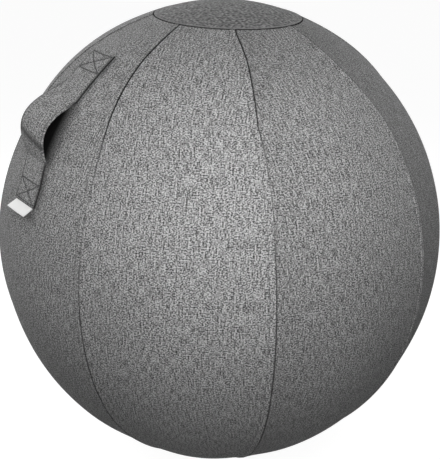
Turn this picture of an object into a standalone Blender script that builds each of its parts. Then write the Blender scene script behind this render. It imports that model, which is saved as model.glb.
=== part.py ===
"""Sitting ball: an inflated bladder in a zipped cloth cover with a carrying strap.

Metres, +Z up. The origin is at the middle of the flat patch that the ball rests on.
The cover has eight side panels and two round end panels. Azimuths are counted
counter-clockwise from +X: the carrying strap is on the panel that faces -X.
"""

import math

import bmesh
import bpy
from mathutils import Matrix, Vector

# Cover
PANEL_COUNT = 8
EQUATOR_RADIUS = 0.3175  # outside of the cover halfway up, on a panel's centre line
SEAM_RISE = 0.0055  # how far a seam stands out beyond that circle halfway up
RIM_RADIUS = 0.109  # seam round each end panel
RIM_HEIGHT = 0.3166  # height of that seam above the equator
FOOT_RADIUS = 0.060  # flat patch that the ball rests on
CLOTH = 0.0014
SEAM_GAP = 0.0004
FELL_WIDTH = 0.0095  # folded seam allowance, stitched down beside each seam
FELL_RISE = 0.0006
FELL_RAMP = 0.0010
CLEARANCE = 0.0003  # between pieces that touch

# Zip, in the seam after the panel named here, counted from the one that faces +X
ZIP_PANEL = 1
ZIP_DROP = 0.262  # along the seam, from the equator down to the closed slider
ZIP_RISE = 0.205  # along the seam, from the equator up to the end of the teeth
ZIP_PITCH = 0.006
TOOTH_GAP = 0.0006
TOOTH_REACH = 0.0012  # past the middle of the chain
BEAD_WIDTH = 0.0013
CHAIN_HEIGHT = 0.0029
TAPE_WIDTH = 0.0130
TAPE_THICKNESS = 0.0007
STOP_LENGTH = 0.0028
SLIDER_LENGTH = 0.0130
SLIDER_PLATE = 0.0010
SLIDER_WALL = 0.0011
SLIDER_PLAY = 0.0006  # beside the chain
SLIDER_NOSE = 0.0030  # taper at the slider's narrow end
SLOT_PLAY = 0.0009  # between the slider and the edges of the cloth
SLOT_END = 0.0030  # free length of the slot beyond the stops
POST_WIDTH = 0.0022
POST_LENGTH = 0.0016
BAIL_OPENING = 0.0025
BAIL_WIRE = 0.0009
BAIL_WIDTH = 0.0020
PULL_LENGTH = 0.0270
PULL_WIDTH = 0.0070
PULL_THICKNESS = 0.0013
PULL_HOLE_LENGTH = 0.0080

# Carrying strap, by distances down the panel from its top seam
STRAP_WIDTH = 0.061
STRAP_THICKNESS = 0.0030
STRAP_TOP = 0.074
STRAP_BOTTOM = 0.297
STRAP_SHIFT = 0.013  # sideways from the panel's centre line
STRAP_SLANT = 0.004  # from one end to the other
ARCH_START = 0.142
ARCH_END = 0.227
ARCH_SKEW = 0.0060  # the arch ends this much lower at one edge and higher at the other
ARCH_HEIGHT = 0.0255
ARCH_TILT = 0.0030  # and is this much lower at the first edge and higher at the other
ARCH_LEAN = 1.30  # exponents of the arch's side view: how far down its crown sits, and how round it is
ARCH_TWIST = 0.12  # change of the first one across the strap
ARCH_ROUND = 1.10

# Sewn-in label below the strap
LABEL_WIDTH = 0.050
LABEL_LENGTH = 0.0155
LABEL_PLY = 0.0005
LABEL_INSET = 0.0015  # from the strap's edge
LABEL_TILT = math.radians(42)  # away from the cover

# Bladder and its valve
BLADDER_WALL = 0.0012
VALVE_BORE = 0.0045
COLLAR_RADIUS = 0.0120
COLLAR_RISE = 0.0008
COLLAR_DEPTH = 0.0090
PLUG_HEAD_RADIUS = 0.0085
PLUG_HEAD_HEIGHT = 0.0018
PLUG_LENGTH = 0.0220
PLUG_TIP_RADIUS = 0.0032
PLUG_RIBS = 3
PLUG_RIB_DEPTH = 0.0005

# Fineness of the curved surfaces
RINGS = 14  # along a side panel
CAP_RINGS = 3
COLUMNS = 6  # across a side panel
STRAP_ROWS = 44
STRAP_COLUMNS = 4
ROUND_STEPS = 24

SECTOR = 2 * math.pi / PANEL_COUNT
STRAP_PANEL = PANEL_COUNT // 2  # faces -X


# Shape of the cover


def side_arc(equator_radius):
    """Centre offset, radius and half angle of the arc from rim to rim through the equator."""
    offset = (RIM_RADIUS**2 + RIM_HEIGHT**2 - equator_radius**2) / (2 * (equator_radius - RIM_RADIUS))
    return offset, equator_radius + offset, math.atan2(RIM_HEIGHT, RIM_RADIUS + offset)


MID_OFFSET, MID_RADIUS, MID_ANGLE = side_arc(EQUATOR_RADIUS)
SEAM_OFFSET, SEAM_RADIUS, SEAM_ANGLE = side_arc(EQUATOR_RADIUS + SEAM_RISE)
PANEL_LENGTH = 2 * MID_ANGLE * MID_RADIUS

# The end panels are domes that run on smoothly from the side panels.
DOME_RADIUS = MID_RADIUS - MID_OFFSET / math.cos(MID_ANGLE)
DOME_RISE = MID_OFFSET * math.tan(MID_ANGLE)
DOME_SPAN = math.pi / 2 - MID_ANGLE
EQUATOR_HEIGHT = DOME_RISE + math.sqrt(DOME_RADIUS**2 - FOOT_RADIUS**2)


def ring_section(station):
    """Middle and seam of a panel's cross-section, as (radius, height above the equator).

    A station runs from 0 at the top seam to 1 at the base seam.
    """
    mid = MID_ANGLE * (1 - 2 * station)
    seam = SEAM_ANGLE * (1 - 2 * station)
    return (
        (MID_RADIUS * math.cos(mid) - MID_OFFSET, MID_RADIUS * math.sin(mid)),
        (SEAM_RADIUS * math.cos(seam) - SEAM_OFFSET, SEAM_RADIUS * math.sin(seam)),
    )


def ring_arc(station):
    """Radius and half angle of the arc through the two seams and the middle of a panel."""
    mid, seam = ring_section(station)
    chord = seam[0] * math.sin(SECTOR / 2)
    bulge = mid[0] - seam[0] * math.cos(SECTOR / 2)
    radius = (chord**2 + bulge**2) / (2 * bulge)
    return radius, math.asin(chord / radius)


def half_width(station):
    """Distance along the cloth from a panel's centre line to its seam."""
    radius, angle = ring_arc(station)
    return radius * angle


def flat_point(station, side):
    """Point of the panel that faces +X, at a distance to one side of its centre line."""
    mid, seam = ring_section(station)
    radius, angle = ring_arc(station)
    turn = side / radius
    out = mid[0] - radius + radius * math.cos(turn)
    height = mid[1] + (seam[1] - mid[1]) * (turn / angle) ** 2
    return Vector((out, radius * math.sin(turn), EQUATOR_HEIGHT + height))


def panel_frame(panel, station, side):
    """Point on a panel's outside, the way down it, the way across it and its outward normal."""
    step = 1e-4
    down = flat_point(station + step, side) - flat_point(station - step, side)
    across = flat_point(station, side + step) - flat_point(station, side - step)
    turn = Matrix.Rotation(panel * SECTOR, 3, "Z")
    down = turn @ down.normalized()
    across = turn @ across.normalized()
    return turn @ flat_point(station, side), down, across, across.cross(-down).normalized()


def panel_point(panel, station, side, lift=0.0):
    point, _, _, normal = panel_frame(panel, station, side)
    return point + normal * lift


def dome_profile(inset):
    """Profile of the top dome from the pole to the rim, moved inward by inset."""
    radius = DOME_RADIUS - inset
    points = []
    for ring in range(CAP_RINGS + 1):
        angle = DOME_SPAN * ring / CAP_RINGS
        points.append((radius * math.sin(angle), EQUATOR_HEIGHT + DOME_RISE + radius * math.cos(angle)))
    return points


def base_profile(inset):
    """Profile of the base dome from the rim to the edge of its flat patch, moved inward by inset."""
    radius = DOME_RADIUS - inset
    drop = EQUATOR_HEIGHT - DOME_RISE - inset
    foot = math.acos(drop / radius)
    points = []
    for ring in range(CAP_RINGS + 1):
        angle = DOME_SPAN + (foot - DOME_SPAN) * ring / CAP_RINGS
        points.append((radius * math.sin(angle), EQUATOR_HEIGHT - DOME_RISE - radius * math.cos(angle)))
    return points


# Zip levels, as heights above the seam's ridge

CHAIN_HALF = TOOTH_REACH + CLEARANCE + BEAD_WIDTH
SLIDER_HALF = CHAIN_HALF + SLIDER_PLAY + SLIDER_WALL
SLOT_HALF = SLIDER_HALF + SLOT_PLAY
TAPE_EDGE = CHAIN_HALF + CLEARANCE
TAPE_LEVEL = -(CLOTH + CLEARANCE)
CHAIN_FOOT = TAPE_LEVEL - TAPE_THICKNESS
CHAIN_TOP = CHAIN_FOOT + CHAIN_HEIGHT

ZIP_AZIMUTH = (ZIP_PANEL + 0.5) * SECTOR
REST_ANGLE = -ZIP_DROP / SEAM_RADIUS
CHAIN_START = -ZIP_DROP - SLIDER_LENGTH / 2 + POST_LENGTH + 3 * CLEARANCE
STOP_START = -ZIP_DROP - SLIDER_LENGTH / 2 - CLEARANCE - STOP_LENGTH
TOOTH_COUNT = int((ZIP_RISE - CHAIN_START) / ZIP_PITCH)
CHAIN_END = CHAIN_START + (TOOTH_COUNT + 0.5) * ZIP_PITCH
SLOT_LOW = STOP_START - SLOT_END
SLOT_HIGH = CHAIN_END + CLEARANCE + STOP_LENGTH + SLOT_END


def seam_station(length):
    """Station of a place on a seam, by its distance along the seam up from the equator."""
    return 0.5 - length / (2 * SEAM_ANGLE * SEAM_RADIUS)


def zip_point(length, side, height):
    """Point beside the zip seam, in the frame at the centre of the seam's arc."""
    angle = length / SEAM_RADIUS
    radius = SEAM_RADIUS + height
    return Vector((radius * math.cos(angle), side, radius * math.sin(angle)))


def ridge_drop(distance):
    """How far a panel falls away from the seam's ridge at a distance from the seam."""
    ridge = flat_point(0.5, half_width(0.5))
    beside = flat_point(0.5, half_width(0.5) - distance)
    outward = Vector((math.cos(SECTOR / 2), math.sin(SECTOR / 2), 0))
    return (ridge - beside).dot(outward)


# The tapes are straight between rings, so they dip below the arc that the slider follows.
TAPE_DIP = MID_RADIUS * (1 - math.cos(MID_ANGLE / (2 * RINGS)))
PLATE_LEVEL = CHAIN_FOOT - ridge_drop(SLIDER_HALF) - TAPE_DIP - CLEARANCE
TOP_LEVEL = CHAIN_TOP + CLEARANCE
BAR_LEVEL = TOP_LEVEL + SLIDER_PLATE + BAIL_OPENING / 2


# Tools for making objects

for old in list(bpy.data.objects):
    bpy.data.objects.remove(old, do_unlink=True)

PARTS = bpy.data.collections.new("sitting_ball")
CUTTERS = bpy.data.collections.new("sitting_ball_cutters")
bpy.context.scene.collection.children.link(PARTS)
bpy.context.scene.collection.children.link(CUTTERS)
CUTTERS.hide_render = True


def paint(obj, color, roughness, metallic=0.0):
    """Give an object a material of its own."""
    material = bpy.data.materials.new(obj.name)
    material.use_nodes = True
    shader = material.node_tree.nodes["Principled BSDF"]
    shader.inputs["Base Color"].default_value = (*color, 1.0)
    shader.inputs["Roughness"].default_value = roughness
    shader.inputs["Metallic"].default_value = metallic
    obj.data.materials.clear()
    obj.data.materials.append(material)


def add_object(name, bm, collection=PARTS, parent=None, smooth=True):
    """Turn a bmesh into a named object."""
    mesh = bpy.data.meshes.new(name)
    bm.to_mesh(mesh)
    bm.free()
    if smooth:
        mesh.shade_smooth()
        mesh.set_sharp_from_angle(angle=math.radians(35))
    obj = bpy.data.objects.new(name, mesh)
    collection.objects.link(obj)
    obj.parent = parent
    if collection is CUTTERS:
        obj.hide_render = True
        obj.display_type = "WIRE"
    return obj


def add_empty(name, location, rotation=(0, 0, 0), parent=None):
    obj = bpy.data.objects.new(name, None)
    PARTS.objects.link(obj)
    obj.location = location
    obj.rotation_euler = rotation
    obj.parent = parent
    return obj


def surface(rows):
    """Open surface through rows of points, as many in each row."""
    bm = bmesh.new()
    across = len(rows[0])
    bmesh.ops.create_grid(bm, x_segments=across - 1, y_segments=len(rows) - 1, size=1)
    bm.verts.ensure_lookup_table()
    places = [point for row in rows for point in row]
    for vert, place in zip(bm.verts, places):
        vert.co = place
    bmesh.ops.recalc_face_normals(bm, faces=bm.faces)
    return bm


def face_outward(bm, outward):
    """Turn an open surface's faces to the side that outward points to."""
    bm.normal_update()
    total = sum((face.normal.dot(outward(face.calc_center_median())) for face in bm.faces))
    if total < 0:
        bmesh.ops.reverse_faces(bm, faces=bm.faces)


def thicken(obj, thickness, offset, even=True):
    """Give an open surface its thickness: offset -1 is inward, 0 both ways, 1 outward."""
    modifier = obj.modifiers.new("thickness", "SOLIDIFY")
    modifier.thickness = thickness
    modifier.offset = offset
    modifier.use_even_offset = even


def turned(name, profile, steps, collection=PARTS, parent=None):
    """Turn a profile of (radius, height) points, listed from top to bottom, about Z."""
    bm = bmesh.new()
    verts = [bm.verts.new((radius, 0, height)) for radius, height in profile]
    for upper, lower in zip(verts, verts[1:]):
        bm.edges.new((upper, lower))
    obj = add_object(name, bm, collection, parent)
    screw = obj.modifiers.new("turn", "SCREW")
    screw.steps = steps
    screw.render_steps = steps
    screw.use_merge_vertices = True
    screw.merge_threshold = 1e-5
    screw.use_smooth_shade = True
    return obj


def box(size, center):
    bm = bmesh.new()
    bmesh.ops.create_cube(bm, size=1.0)
    bmesh.ops.scale(bm, vec=size, verts=bm.verts)
    bmesh.ops.translate(bm, vec=center, verts=bm.verts)
    return bm


def slab(outline, depth, place):
    """Push a flat outline out by depth; place turns (u, v, w) into a point."""
    bm = bmesh.new()
    verts = [bm.verts.new((u, v, 0)) for u, v in outline]
    base = bm.faces.new(verts)
    pushed = bmesh.ops.extrude_face_region(bm, geom=[base])["geom"]
    far_verts = [item for item in pushed if isinstance(item, bmesh.types.BMVert)]
    bmesh.ops.translate(bm, vec=(0, 0, depth), verts=far_verts)
    for vert in bm.verts:
        vert.co = place(*vert.co)
    bmesh.ops.recalc_face_normals(bm, faces=bm.faces)
    return bm


def arc_points(center, radius, start, end, steps):
    """Points on an arc, by angles in degrees."""
    points = []
    for step in range(steps + 1):
        angle = math.radians(start + (end - start) * step / steps)
        points.append((center[0] + radius * math.cos(angle), center[1] + radius * math.sin(angle)))
    return points


def combine(obj, other, operation):
    modifier = obj.modifiers.new(operation.lower(), "BOOLEAN")
    modifier.operation = operation
    modifier.object = other


GREY_CLOTH = (0.205, 0.205, 0.200)
DARK_TRIM = (0.035, 0.035, 0.037)


# Cover panels


def edge_gap(panel, high_side, station):
    """Distance of a panel's edge from the seam: wide along the zip, and a hair elsewhere."""
    beside_zip = panel == (ZIP_PANEL if high_side else (ZIP_PANEL + 1) % PANEL_COUNT)
    if beside_zip and seam_station(SLOT_HIGH) <= station <= seam_station(SLOT_LOW):
        return SLOT_HALF
    return SEAM_GAP / 2


def panel_stations(panel):
    """Stations of a panel's rings, closer beside the zip and under the strap."""
    beside_zip = panel in (ZIP_PANEL, (ZIP_PANEL + 1) % PANEL_COUNT)
    rings = 2 * RINGS if beside_zip or panel == STRAP_PANEL else RINGS
    margin = SEAM_GAP / 2 / PANEL_LENGTH
    stations = [margin + (1 - 2 * margin) * ring / rings for ring in range(rings + 1)]
    if beside_zip:
        step = FELL_RAMP / PANEL_LENGTH
        # Two rings at each end of the zip's slot give it square ends.
        for end, way in ((seam_station(SLOT_HIGH), -1), (seam_station(SLOT_LOW), 1)):
            stations = [station for station in stations if abs(station - end) > 4 * step]
            stations += [end, end + way * step]
    return sorted(stations)


def side_panel(panel):
    rows = []
    for station in panel_stations(panel):
        half = half_width(station)
        low_edge = -(half - edge_gap(panel, False, station))
        high_edge = half - edge_gap(panel, True, station)
        fell = min(FELL_WIDTH, half / 4)
        inner = [half * (2 * column / COLUMNS - 1) for column in range(1, COLUMNS)]
        sides = [low_edge, low_edge + fell + FELL_RAMP] + inner + [high_edge - fell - FELL_RAMP]
        row = [panel_point(panel, station, side) for side in sides]
        row.append(panel_point(panel, station, high_edge - fell, FELL_RISE))
        row.append(panel_point(panel, station, high_edge, FELL_RISE))
        rows.append(row)
    bm = surface(rows)
    middle = Vector((0, 0, EQUATOR_HEIGHT))
    face_outward(bm, lambda point: point - middle)
    obj = add_object(f"side_panel_{panel + 1}", bm)
    thicken(obj, CLOTH, -1)
    paint(obj, GREY_CLOTH, 0.9)


for index in range(PANEL_COUNT):
    side_panel(index)

# The end panels stop short of their seams.
SEAM_IN = SEAM_GAP / 2 * math.cos(DOME_SPAN)
SEAM_OFF = SEAM_GAP / 2 * math.sin(DOME_SPAN)

top_outline = dome_profile(0)
rim_radius, rim_height = top_outline.pop()
top_outline.append((rim_radius - SEAM_IN, rim_height + SEAM_OFF))
top_panel = turned("top_panel", top_outline, PANEL_COUNT * COLUMNS)
thicken(top_panel, CLOTH, -1)
paint(top_panel, GREY_CLOTH, 0.9)

rim_radius, rim_height = base_profile(0)[0]
base_outline = [(rim_radius - SEAM_IN, rim_height - SEAM_OFF)] + base_profile(0)[1:] + [(0, 0)]
base_panel = turned("base_panel", base_outline, PANEL_COUNT * COLUMNS)
thicken(base_panel, CLOTH, -1)
paint(base_panel, GREY_CLOTH, 0.9)


# Carrying strap


def strap_side(distance):
    """Side of the strap's centre line, which runs slightly aslant down the panel."""
    return STRAP_SLANT * ((distance - STRAP_TOP) / (STRAP_BOTTOM - STRAP_TOP) - 0.5) - STRAP_SHIFT


def arch_height(distance, share):
    """Height of the strap's arch; share runs from -1 to 1 across the strap."""
    run = (distance - ARCH_START) / (ARCH_END + ARCH_SKEW * share - ARCH_START)
    if not 0 < run < 1:
        return 0.0
    peak = ARCH_HEIGHT - ARCH_TILT * share
    lean = ARCH_LEAN - ARCH_TWIST * share
    return peak * math.sin(math.pi * run**lean) ** ARCH_ROUND


def strap():
    rows = []
    for row in range(STRAP_ROWS + 1):
        distance = STRAP_TOP + (STRAP_BOTTOM - STRAP_TOP) * row / STRAP_ROWS
        points = []
        for column in range(STRAP_COLUMNS + 1):
            share = 2 * column / STRAP_COLUMNS - 1
            side = share * STRAP_WIDTH / 2 + strap_side(distance)
            lift = CLEARANCE + STRAP_THICKNESS / 2 + arch_height(distance, share)
            points.append(panel_point(STRAP_PANEL, distance / PANEL_LENGTH, side, lift))
        rows.append(points)
    obj = add_object("carry_strap", surface(rows))
    thicken(obj, STRAP_THICKNESS, 0, even=False)
    paint(obj, GREY_CLOTH, 0.9)


strap()


# Label, a folded ribbon that stands out from under the strap's lower end


def label():
    station = (STRAP_BOTTOM + 2 * CLEARANCE + LABEL_PLY) / PANEL_LENGTH
    side = strap_side(STRAP_BOTTOM) + (STRAP_WIDTH - LABEL_WIDTH) / 2 - LABEL_INSET
    root, down, across, normal = panel_frame(STRAP_PANEL, station, side)
    along = (down * math.cos(LABEL_TILT) + normal * math.sin(LABEL_TILT)).normalized()
    face = across.cross(along)
    turn = Matrix((along, face, across)).transposed().to_4x4()
    outer = 1.5 * LABEL_PLY
    inner = outer - LABEL_PLY
    fold = LABEL_LENGTH - outer
    outline = [(0, -outer)] + arc_points((fold, 0), outer, -90, 90, 8) + [(0, outer), (0, inner)]
    outline += arc_points((fold, 0), inner, 90, -90, 6) + [(0, -inner)]
    bm = slab(outline, LABEL_WIDTH, lambda u, v, w: Vector((u, v, w - LABEL_WIDTH / 2)))
    obj = add_object("sewn_label", bm)
    obj.matrix_world = Matrix.Translation(root + normal * (CLEARANCE + 2 * outer)) @ turn
    paint(obj, (0.80, 0.80, 0.79), 0.7)


label()


# Zip

zip_frame = add_empty(
    "zip_frame",
    (-SEAM_OFFSET * math.cos(ZIP_AZIMUTH), -SEAM_OFFSET * math.sin(ZIP_AZIMUTH), EQUATOR_HEIGHT),
    (0, 0, ZIP_AZIMUTH),
)
slider_pivot = add_empty("zip_slider_pivot", (0, 0, 0), (0, -REST_ANGLE, 0), zip_frame)


def tape(name, panel, hand):
    """Woven tape under a panel's edge; hand is 1 where the panel's high side is at the zip."""
    rows = []
    for station in panel_stations(panel):
        if not seam_station(SLOT_HIGH) <= station <= seam_station(SLOT_LOW):
            continue
        row = []
        for column in range(3):
            distance = TAPE_EDGE + (TAPE_WIDTH - TAPE_EDGE) * column / 2
            side = hand * (half_width(station) - distance)
            row.append(panel_point(panel, station, side, TAPE_LEVEL))
        rows.append(row)
    bm = surface(rows)
    middle = Vector((0, 0, EQUATOR_HEIGHT))
    face_outward(bm, lambda point: point - middle)
    obj = add_object(name, bm)
    thicken(obj, TAPE_THICKNESS, -1)
    paint(obj, DARK_TRIM, 0.85)


tape("zip_tape_left", ZIP_PANEL, 1)
tape("zip_tape_right", (ZIP_PANEL + 1) % PANEL_COUNT, -1)


def chain(name, hand, shift):
    """A bead bent along the seam, with every other face on its inner side drawn out into a tooth."""
    inner = -hand * (CHAIN_HALF - BEAD_WIDTH)
    outer = -hand * CHAIN_HALF
    lengths = [CHAIN_START]
    for tooth in range(TOOTH_COUNT):
        start = CHAIN_START + (tooth + shift) * ZIP_PITCH + TOOTH_GAP / 2
        lengths += [start, start + ZIP_PITCH / 2 - TOOTH_GAP]
    lengths.append(CHAIN_END)
    rows = []
    for length in lengths:
        corners = ((outer, CHAIN_TOP), (inner, CHAIN_TOP), (inner, CHAIN_FOOT), (outer, CHAIN_FOOT))
        rows.append([zip_point(length, side, height) for side, height in corners + corners[:1]])
    bm = surface(rows)
    bmesh.ops.remove_doubles(bm, verts=bm.verts, dist=1e-6)
    bmesh.ops.holes_fill(bm, edges=[edge for edge in bm.edges if edge.is_boundary], sides=4)
    bmesh.ops.recalc_face_normals(bm, faces=bm.faces)
    bm.faces.ensure_lookup_table()
    half_tooth = ZIP_PITCH / 4
    for face in list(bm.faces):
        middle = face.calc_center_median()
        if abs(face.normal.y) < 0.9 or abs(middle.y - inner) > 1e-5:
            continue
        place = (math.atan2(middle.z, middle.x) * SEAM_RADIUS - CHAIN_START) / ZIP_PITCH - shift
        if abs(place - round(place - 0.25) - 0.25) * ZIP_PITCH > half_tooth / 4:
            continue
        tip = bmesh.ops.extrude_discrete_faces(bm, faces=[face])["faces"][0]
        bmesh.ops.translate(bm, vec=(0, hand * (CHAIN_HALF - BEAD_WIDTH + TOOTH_REACH), 0), verts=tip.verts)
    obj = add_object(name, bm, parent=zip_frame, smooth=False)
    paint(obj, DARK_TRIM, 0.5)


chain("zip_teeth_left", 1, 0.0)
chain("zip_teeth_right", -1, 0.5)


def stop(name, sides, start):
    """Small clip across the stretch of chain between two sides."""
    outline = [(sides[0], CHAIN_FOOT), (sides[1], CHAIN_FOOT), (sides[1], CHAIN_TOP), (sides[0], CHAIN_TOP)]
    bm = slab(outline, STOP_LENGTH, lambda u, v, w: zip_point(start + w, u, v))
    obj = add_object(name, bm, parent=zip_frame, smooth=False)
    paint(obj, DARK_TRIM, 0.4)


stop("zip_end_stop", (-CHAIN_HALF, CHAIN_HALF), CHAIN_END + CLEARANCE)
stop("zip_top_stop_left", (-CHAIN_HALF, -CHAIN_HALF + BEAD_WIDTH), STOP_START)
stop("zip_top_stop_right", (CHAIN_HALF - BEAD_WIDTH, CHAIN_HALF), STOP_START)


def slider():
    """Two plates joined by a post, side walls round the chain and a bail for the pull.

    In the slider's own frame X points out of the cover and Z up the zip.
    """
    half = SLIDER_LENGTH / 2
    nose = SLIDER_HALF - SLIDER_WALL / 2
    shield = [(-SLIDER_HALF, -half), (SLIDER_HALF, -half), (SLIDER_HALF, half - SLIDER_NOSE)]
    shield += [(nose, half), (-nose, half), (-SLIDER_HALF, half - SLIDER_NOSE)]

    def plate_at(level):
        return lambda u, v, w: Vector((level + w, u, v))

    top = slab(shield, SLIDER_PLATE, plate_at(TOP_LEVEL))
    obj = add_object("zip_slider", top, parent=slider_pivot, smooth=False)
    obj.location = (SEAM_RADIUS, 0, 0)
    pieces = [slab(shield, SLIDER_PLATE, plate_at(PLATE_LEVEL - SLIDER_PLATE))]
    post_height = TOP_LEVEL - PLATE_LEVEL + SLIDER_PLATE
    post_center = ((TOP_LEVEL + PLATE_LEVEL) / 2, 0, -half + POST_LENGTH / 2)
    pieces.append(box((post_height, POST_WIDTH, POST_LENGTH), post_center))
    wall_foot = TAPE_LEVEL + CLEARANCE
    wall_height = TOP_LEVEL + SLIDER_PLATE / 2 - wall_foot
    wall_length = SLIDER_LENGTH - SLIDER_NOSE
    for hand in (-1, 1):
        center = (wall_foot + wall_height / 2, hand * (SLIDER_HALF - SLIDER_WALL / 2), -SLIDER_NOSE / 2)
        pieces.append(box((wall_height, SLIDER_WALL * 0.98, wall_length * 0.98), center))
    opening = BAIL_OPENING
    rim = BAIL_OPENING / 2 + BAIL_WIRE
    foot = TOP_LEVEL + SLIDER_PLATE / 2
    crown = TOP_LEVEL + SLIDER_PLATE + opening
    arch = [(foot, -rim), (crown, -rim), (crown + BAIL_WIRE, -opening / 2), (crown + BAIL_WIRE, opening / 2)]
    arch += [(crown, rim), (foot, rim), (foot, opening / 2), (crown, opening / 2), (crown, -opening / 2)]
    arch += [(foot, -opening / 2)]
    pieces.append(slab(arch, BAIL_WIDTH, lambda u, v, w: Vector((u, w - BAIL_WIDTH / 2, v))))
    for number, piece in enumerate(pieces):
        tool = add_object(f"zip_slider_piece_{number}", piece, CUTTERS, slider_pivot, smooth=False)
        tool.location = (SEAM_RADIUS, 0, 0)
        combine(obj, tool, "UNION")
    paint(obj, (0.10, 0.10, 0.105), 0.35, 0.9)


slider()


def pull():
    """Flat tab that hangs from a bar through the slider's bail; its origin is on the bar's axis."""
    bar = PULL_THICKNESS / 2
    eye_half = BAIL_WIDTH / 2 + 2 * CLEARANCE
    eye_depth = math.hypot(BAIL_OPENING / 2 + BAIL_WIRE, BAIL_OPENING / 2 + BAIL_WIRE) + 2 * CLEARANCE
    corner = PULL_WIDTH / 2
    outline = [(-corner, bar), (-corner, -PULL_LENGTH + corner)]
    outline += arc_points((0, -PULL_LENGTH + corner), corner, 180, 360, 8)[1:]
    outline += [(corner, bar)]
    bm = slab(outline, PULL_THICKNESS, lambda u, v, w: Vector((w - PULL_THICKNESS / 2, u, v)))
    obj = add_object("zip_pull", bm, parent=slider_pivot, smooth=False)
    place = (SEAM_RADIUS + BAR_LEVEL, 0, 0)
    obj.location = place
    obj.rotation_euler = (0, REST_ANGLE, 0)
    eye = box((4 * PULL_THICKNESS, 2 * eye_half, eye_depth - bar), (0, 0, -(eye_depth + bar) / 2))
    hole_center = -PULL_LENGTH + corner + PULL_HOLE_LENGTH / 2 - corner / 2
    hole = box((4 * PULL_THICKNESS, PULL_WIDTH / 2, PULL_HOLE_LENGTH), (0, 0, hole_center))
    for name, piece in (("zip_pull_eye", eye), ("zip_pull_hole", hole)):
        tool = add_object(name, piece, CUTTERS, slider_pivot, smooth=False)
        tool.location = place
        tool.rotation_euler = obj.rotation_euler
        combine(obj, tool, "DIFFERENCE")
    paint(obj, (0.10, 0.10, 0.105), 0.35, 0.9)


pull()


# Bladder, with a valve behind the zip

BLADDER_INSET = CLOTH + CLEARANCE
BLADDER_STEPS = PANEL_COUNT * COLUMNS // 2


def bladder_profile():
    """Outside of the bladder from pole to pole."""
    radius = MID_RADIUS - BLADDER_INSET
    side = []
    for ring in range(RINGS + 1):
        angle = MID_ANGLE * (1 - 2 * ring / RINGS)
        side.append((radius * math.cos(angle) - MID_OFFSET, EQUATOR_HEIGHT + radius * math.sin(angle)))
    return dome_profile(BLADDER_INSET)[:-1] + side + base_profile(BLADDER_INSET)[1:] + [(0, BLADDER_INSET)]


bladder = turned("bladder", bladder_profile(), BLADDER_STEPS)
thicken(bladder, BLADDER_WALL, -1)
paint(bladder, (0.30, 0.31, 0.32), 0.45)


def valve_frame():
    """Middle and outward direction of the bladder's flat facet just above the equator, behind the zip."""
    radius = MID_RADIUS - BLADDER_INSET
    turn = 2 * MID_ANGLE / RINGS
    upper = radius * math.cos(turn) - MID_OFFSET
    lower = radius - MID_OFFSET
    flat = math.cos(math.pi / BLADDER_STEPS)
    out = flat * (upper + lower) / 2
    rise = radius * math.sin(turn)
    slope = math.atan2(flat * (lower - upper), rise)
    place = Vector((out * math.cos(ZIP_AZIMUTH), out * math.sin(ZIP_AZIMUTH), EQUATOR_HEIGHT + rise / 2))
    return place, (0, math.pi / 2 - slope, ZIP_AZIMUTH)


valve_place, valve_turn = valve_frame()
valve_frame_empty = add_empty("valve_frame", valve_place, valve_turn)
collar = turned(
    "valve_collar",
    [(0, COLLAR_RISE), (COLLAR_RADIUS, COLLAR_RISE), (COLLAR_RADIUS, -COLLAR_DEPTH), (0, -COLLAR_DEPTH)],
    ROUND_STEPS,
    CUTTERS,
    valve_frame_empty,
)
bore = turned(
    "valve_bore",
    [(0, COLLAR_DEPTH), (VALVE_BORE, COLLAR_DEPTH), (VALVE_BORE, -2 * COLLAR_DEPTH), (0, -2 * COLLAR_DEPTH)],
    ROUND_STEPS,
    CUTTERS,
    valve_frame_empty,
)
combine(bladder, collar, "UNION")
combine(bladder, bore, "DIFFERENCE")


def plug_profile():
    """Head, then a tapered stem with gripping ribs."""
    seat = COLLAR_RISE + CLEARANCE
    root = VALVE_BORE - CLEARANCE
    top = seat + PLUG_HEAD_HEIGHT
    bevel = PLUG_HEAD_HEIGHT / 2
    points = [(0, top), (PLUG_HEAD_RADIUS - bevel, top), (PLUG_HEAD_RADIUS, top - bevel)]
    points += [(PLUG_HEAD_RADIUS, seat), (root, seat)]
    pitch = PLUG_LENGTH / (PLUG_RIBS + 1)
    for rib in range(1, PLUG_RIBS + 1):
        radius = root + (PLUG_TIP_RADIUS - root) * rib / (PLUG_RIBS + 1)
        points += [(radius, seat - pitch * rib), (radius - PLUG_RIB_DEPTH, seat - pitch * (rib + 0.2))]
    return points + [(PLUG_TIP_RADIUS - PLUG_RIB_DEPTH, seat - PLUG_LENGTH), (0, seat - PLUG_LENGTH)]


plug = turned("valve_plug", plug_profile(), ROUND_STEPS, PARTS, valve_frame_empty)
paint(plug, (0.75, 0.75, 0.74), 0.4)
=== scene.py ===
"""Looks of the sitting ball: woven cover, seams, carrying strap, label and zip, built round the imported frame.

Metres, +Z up, in the frame of the CAD model, whose sizes are repeated here because its source isn't read.
A panel's places are given by a station, from 0 at its top seam to 1 at its base seam, and by a side, the
distance along the cloth from its centre line. Seen from outside, sides grow to the right.
"""

import math

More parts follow.
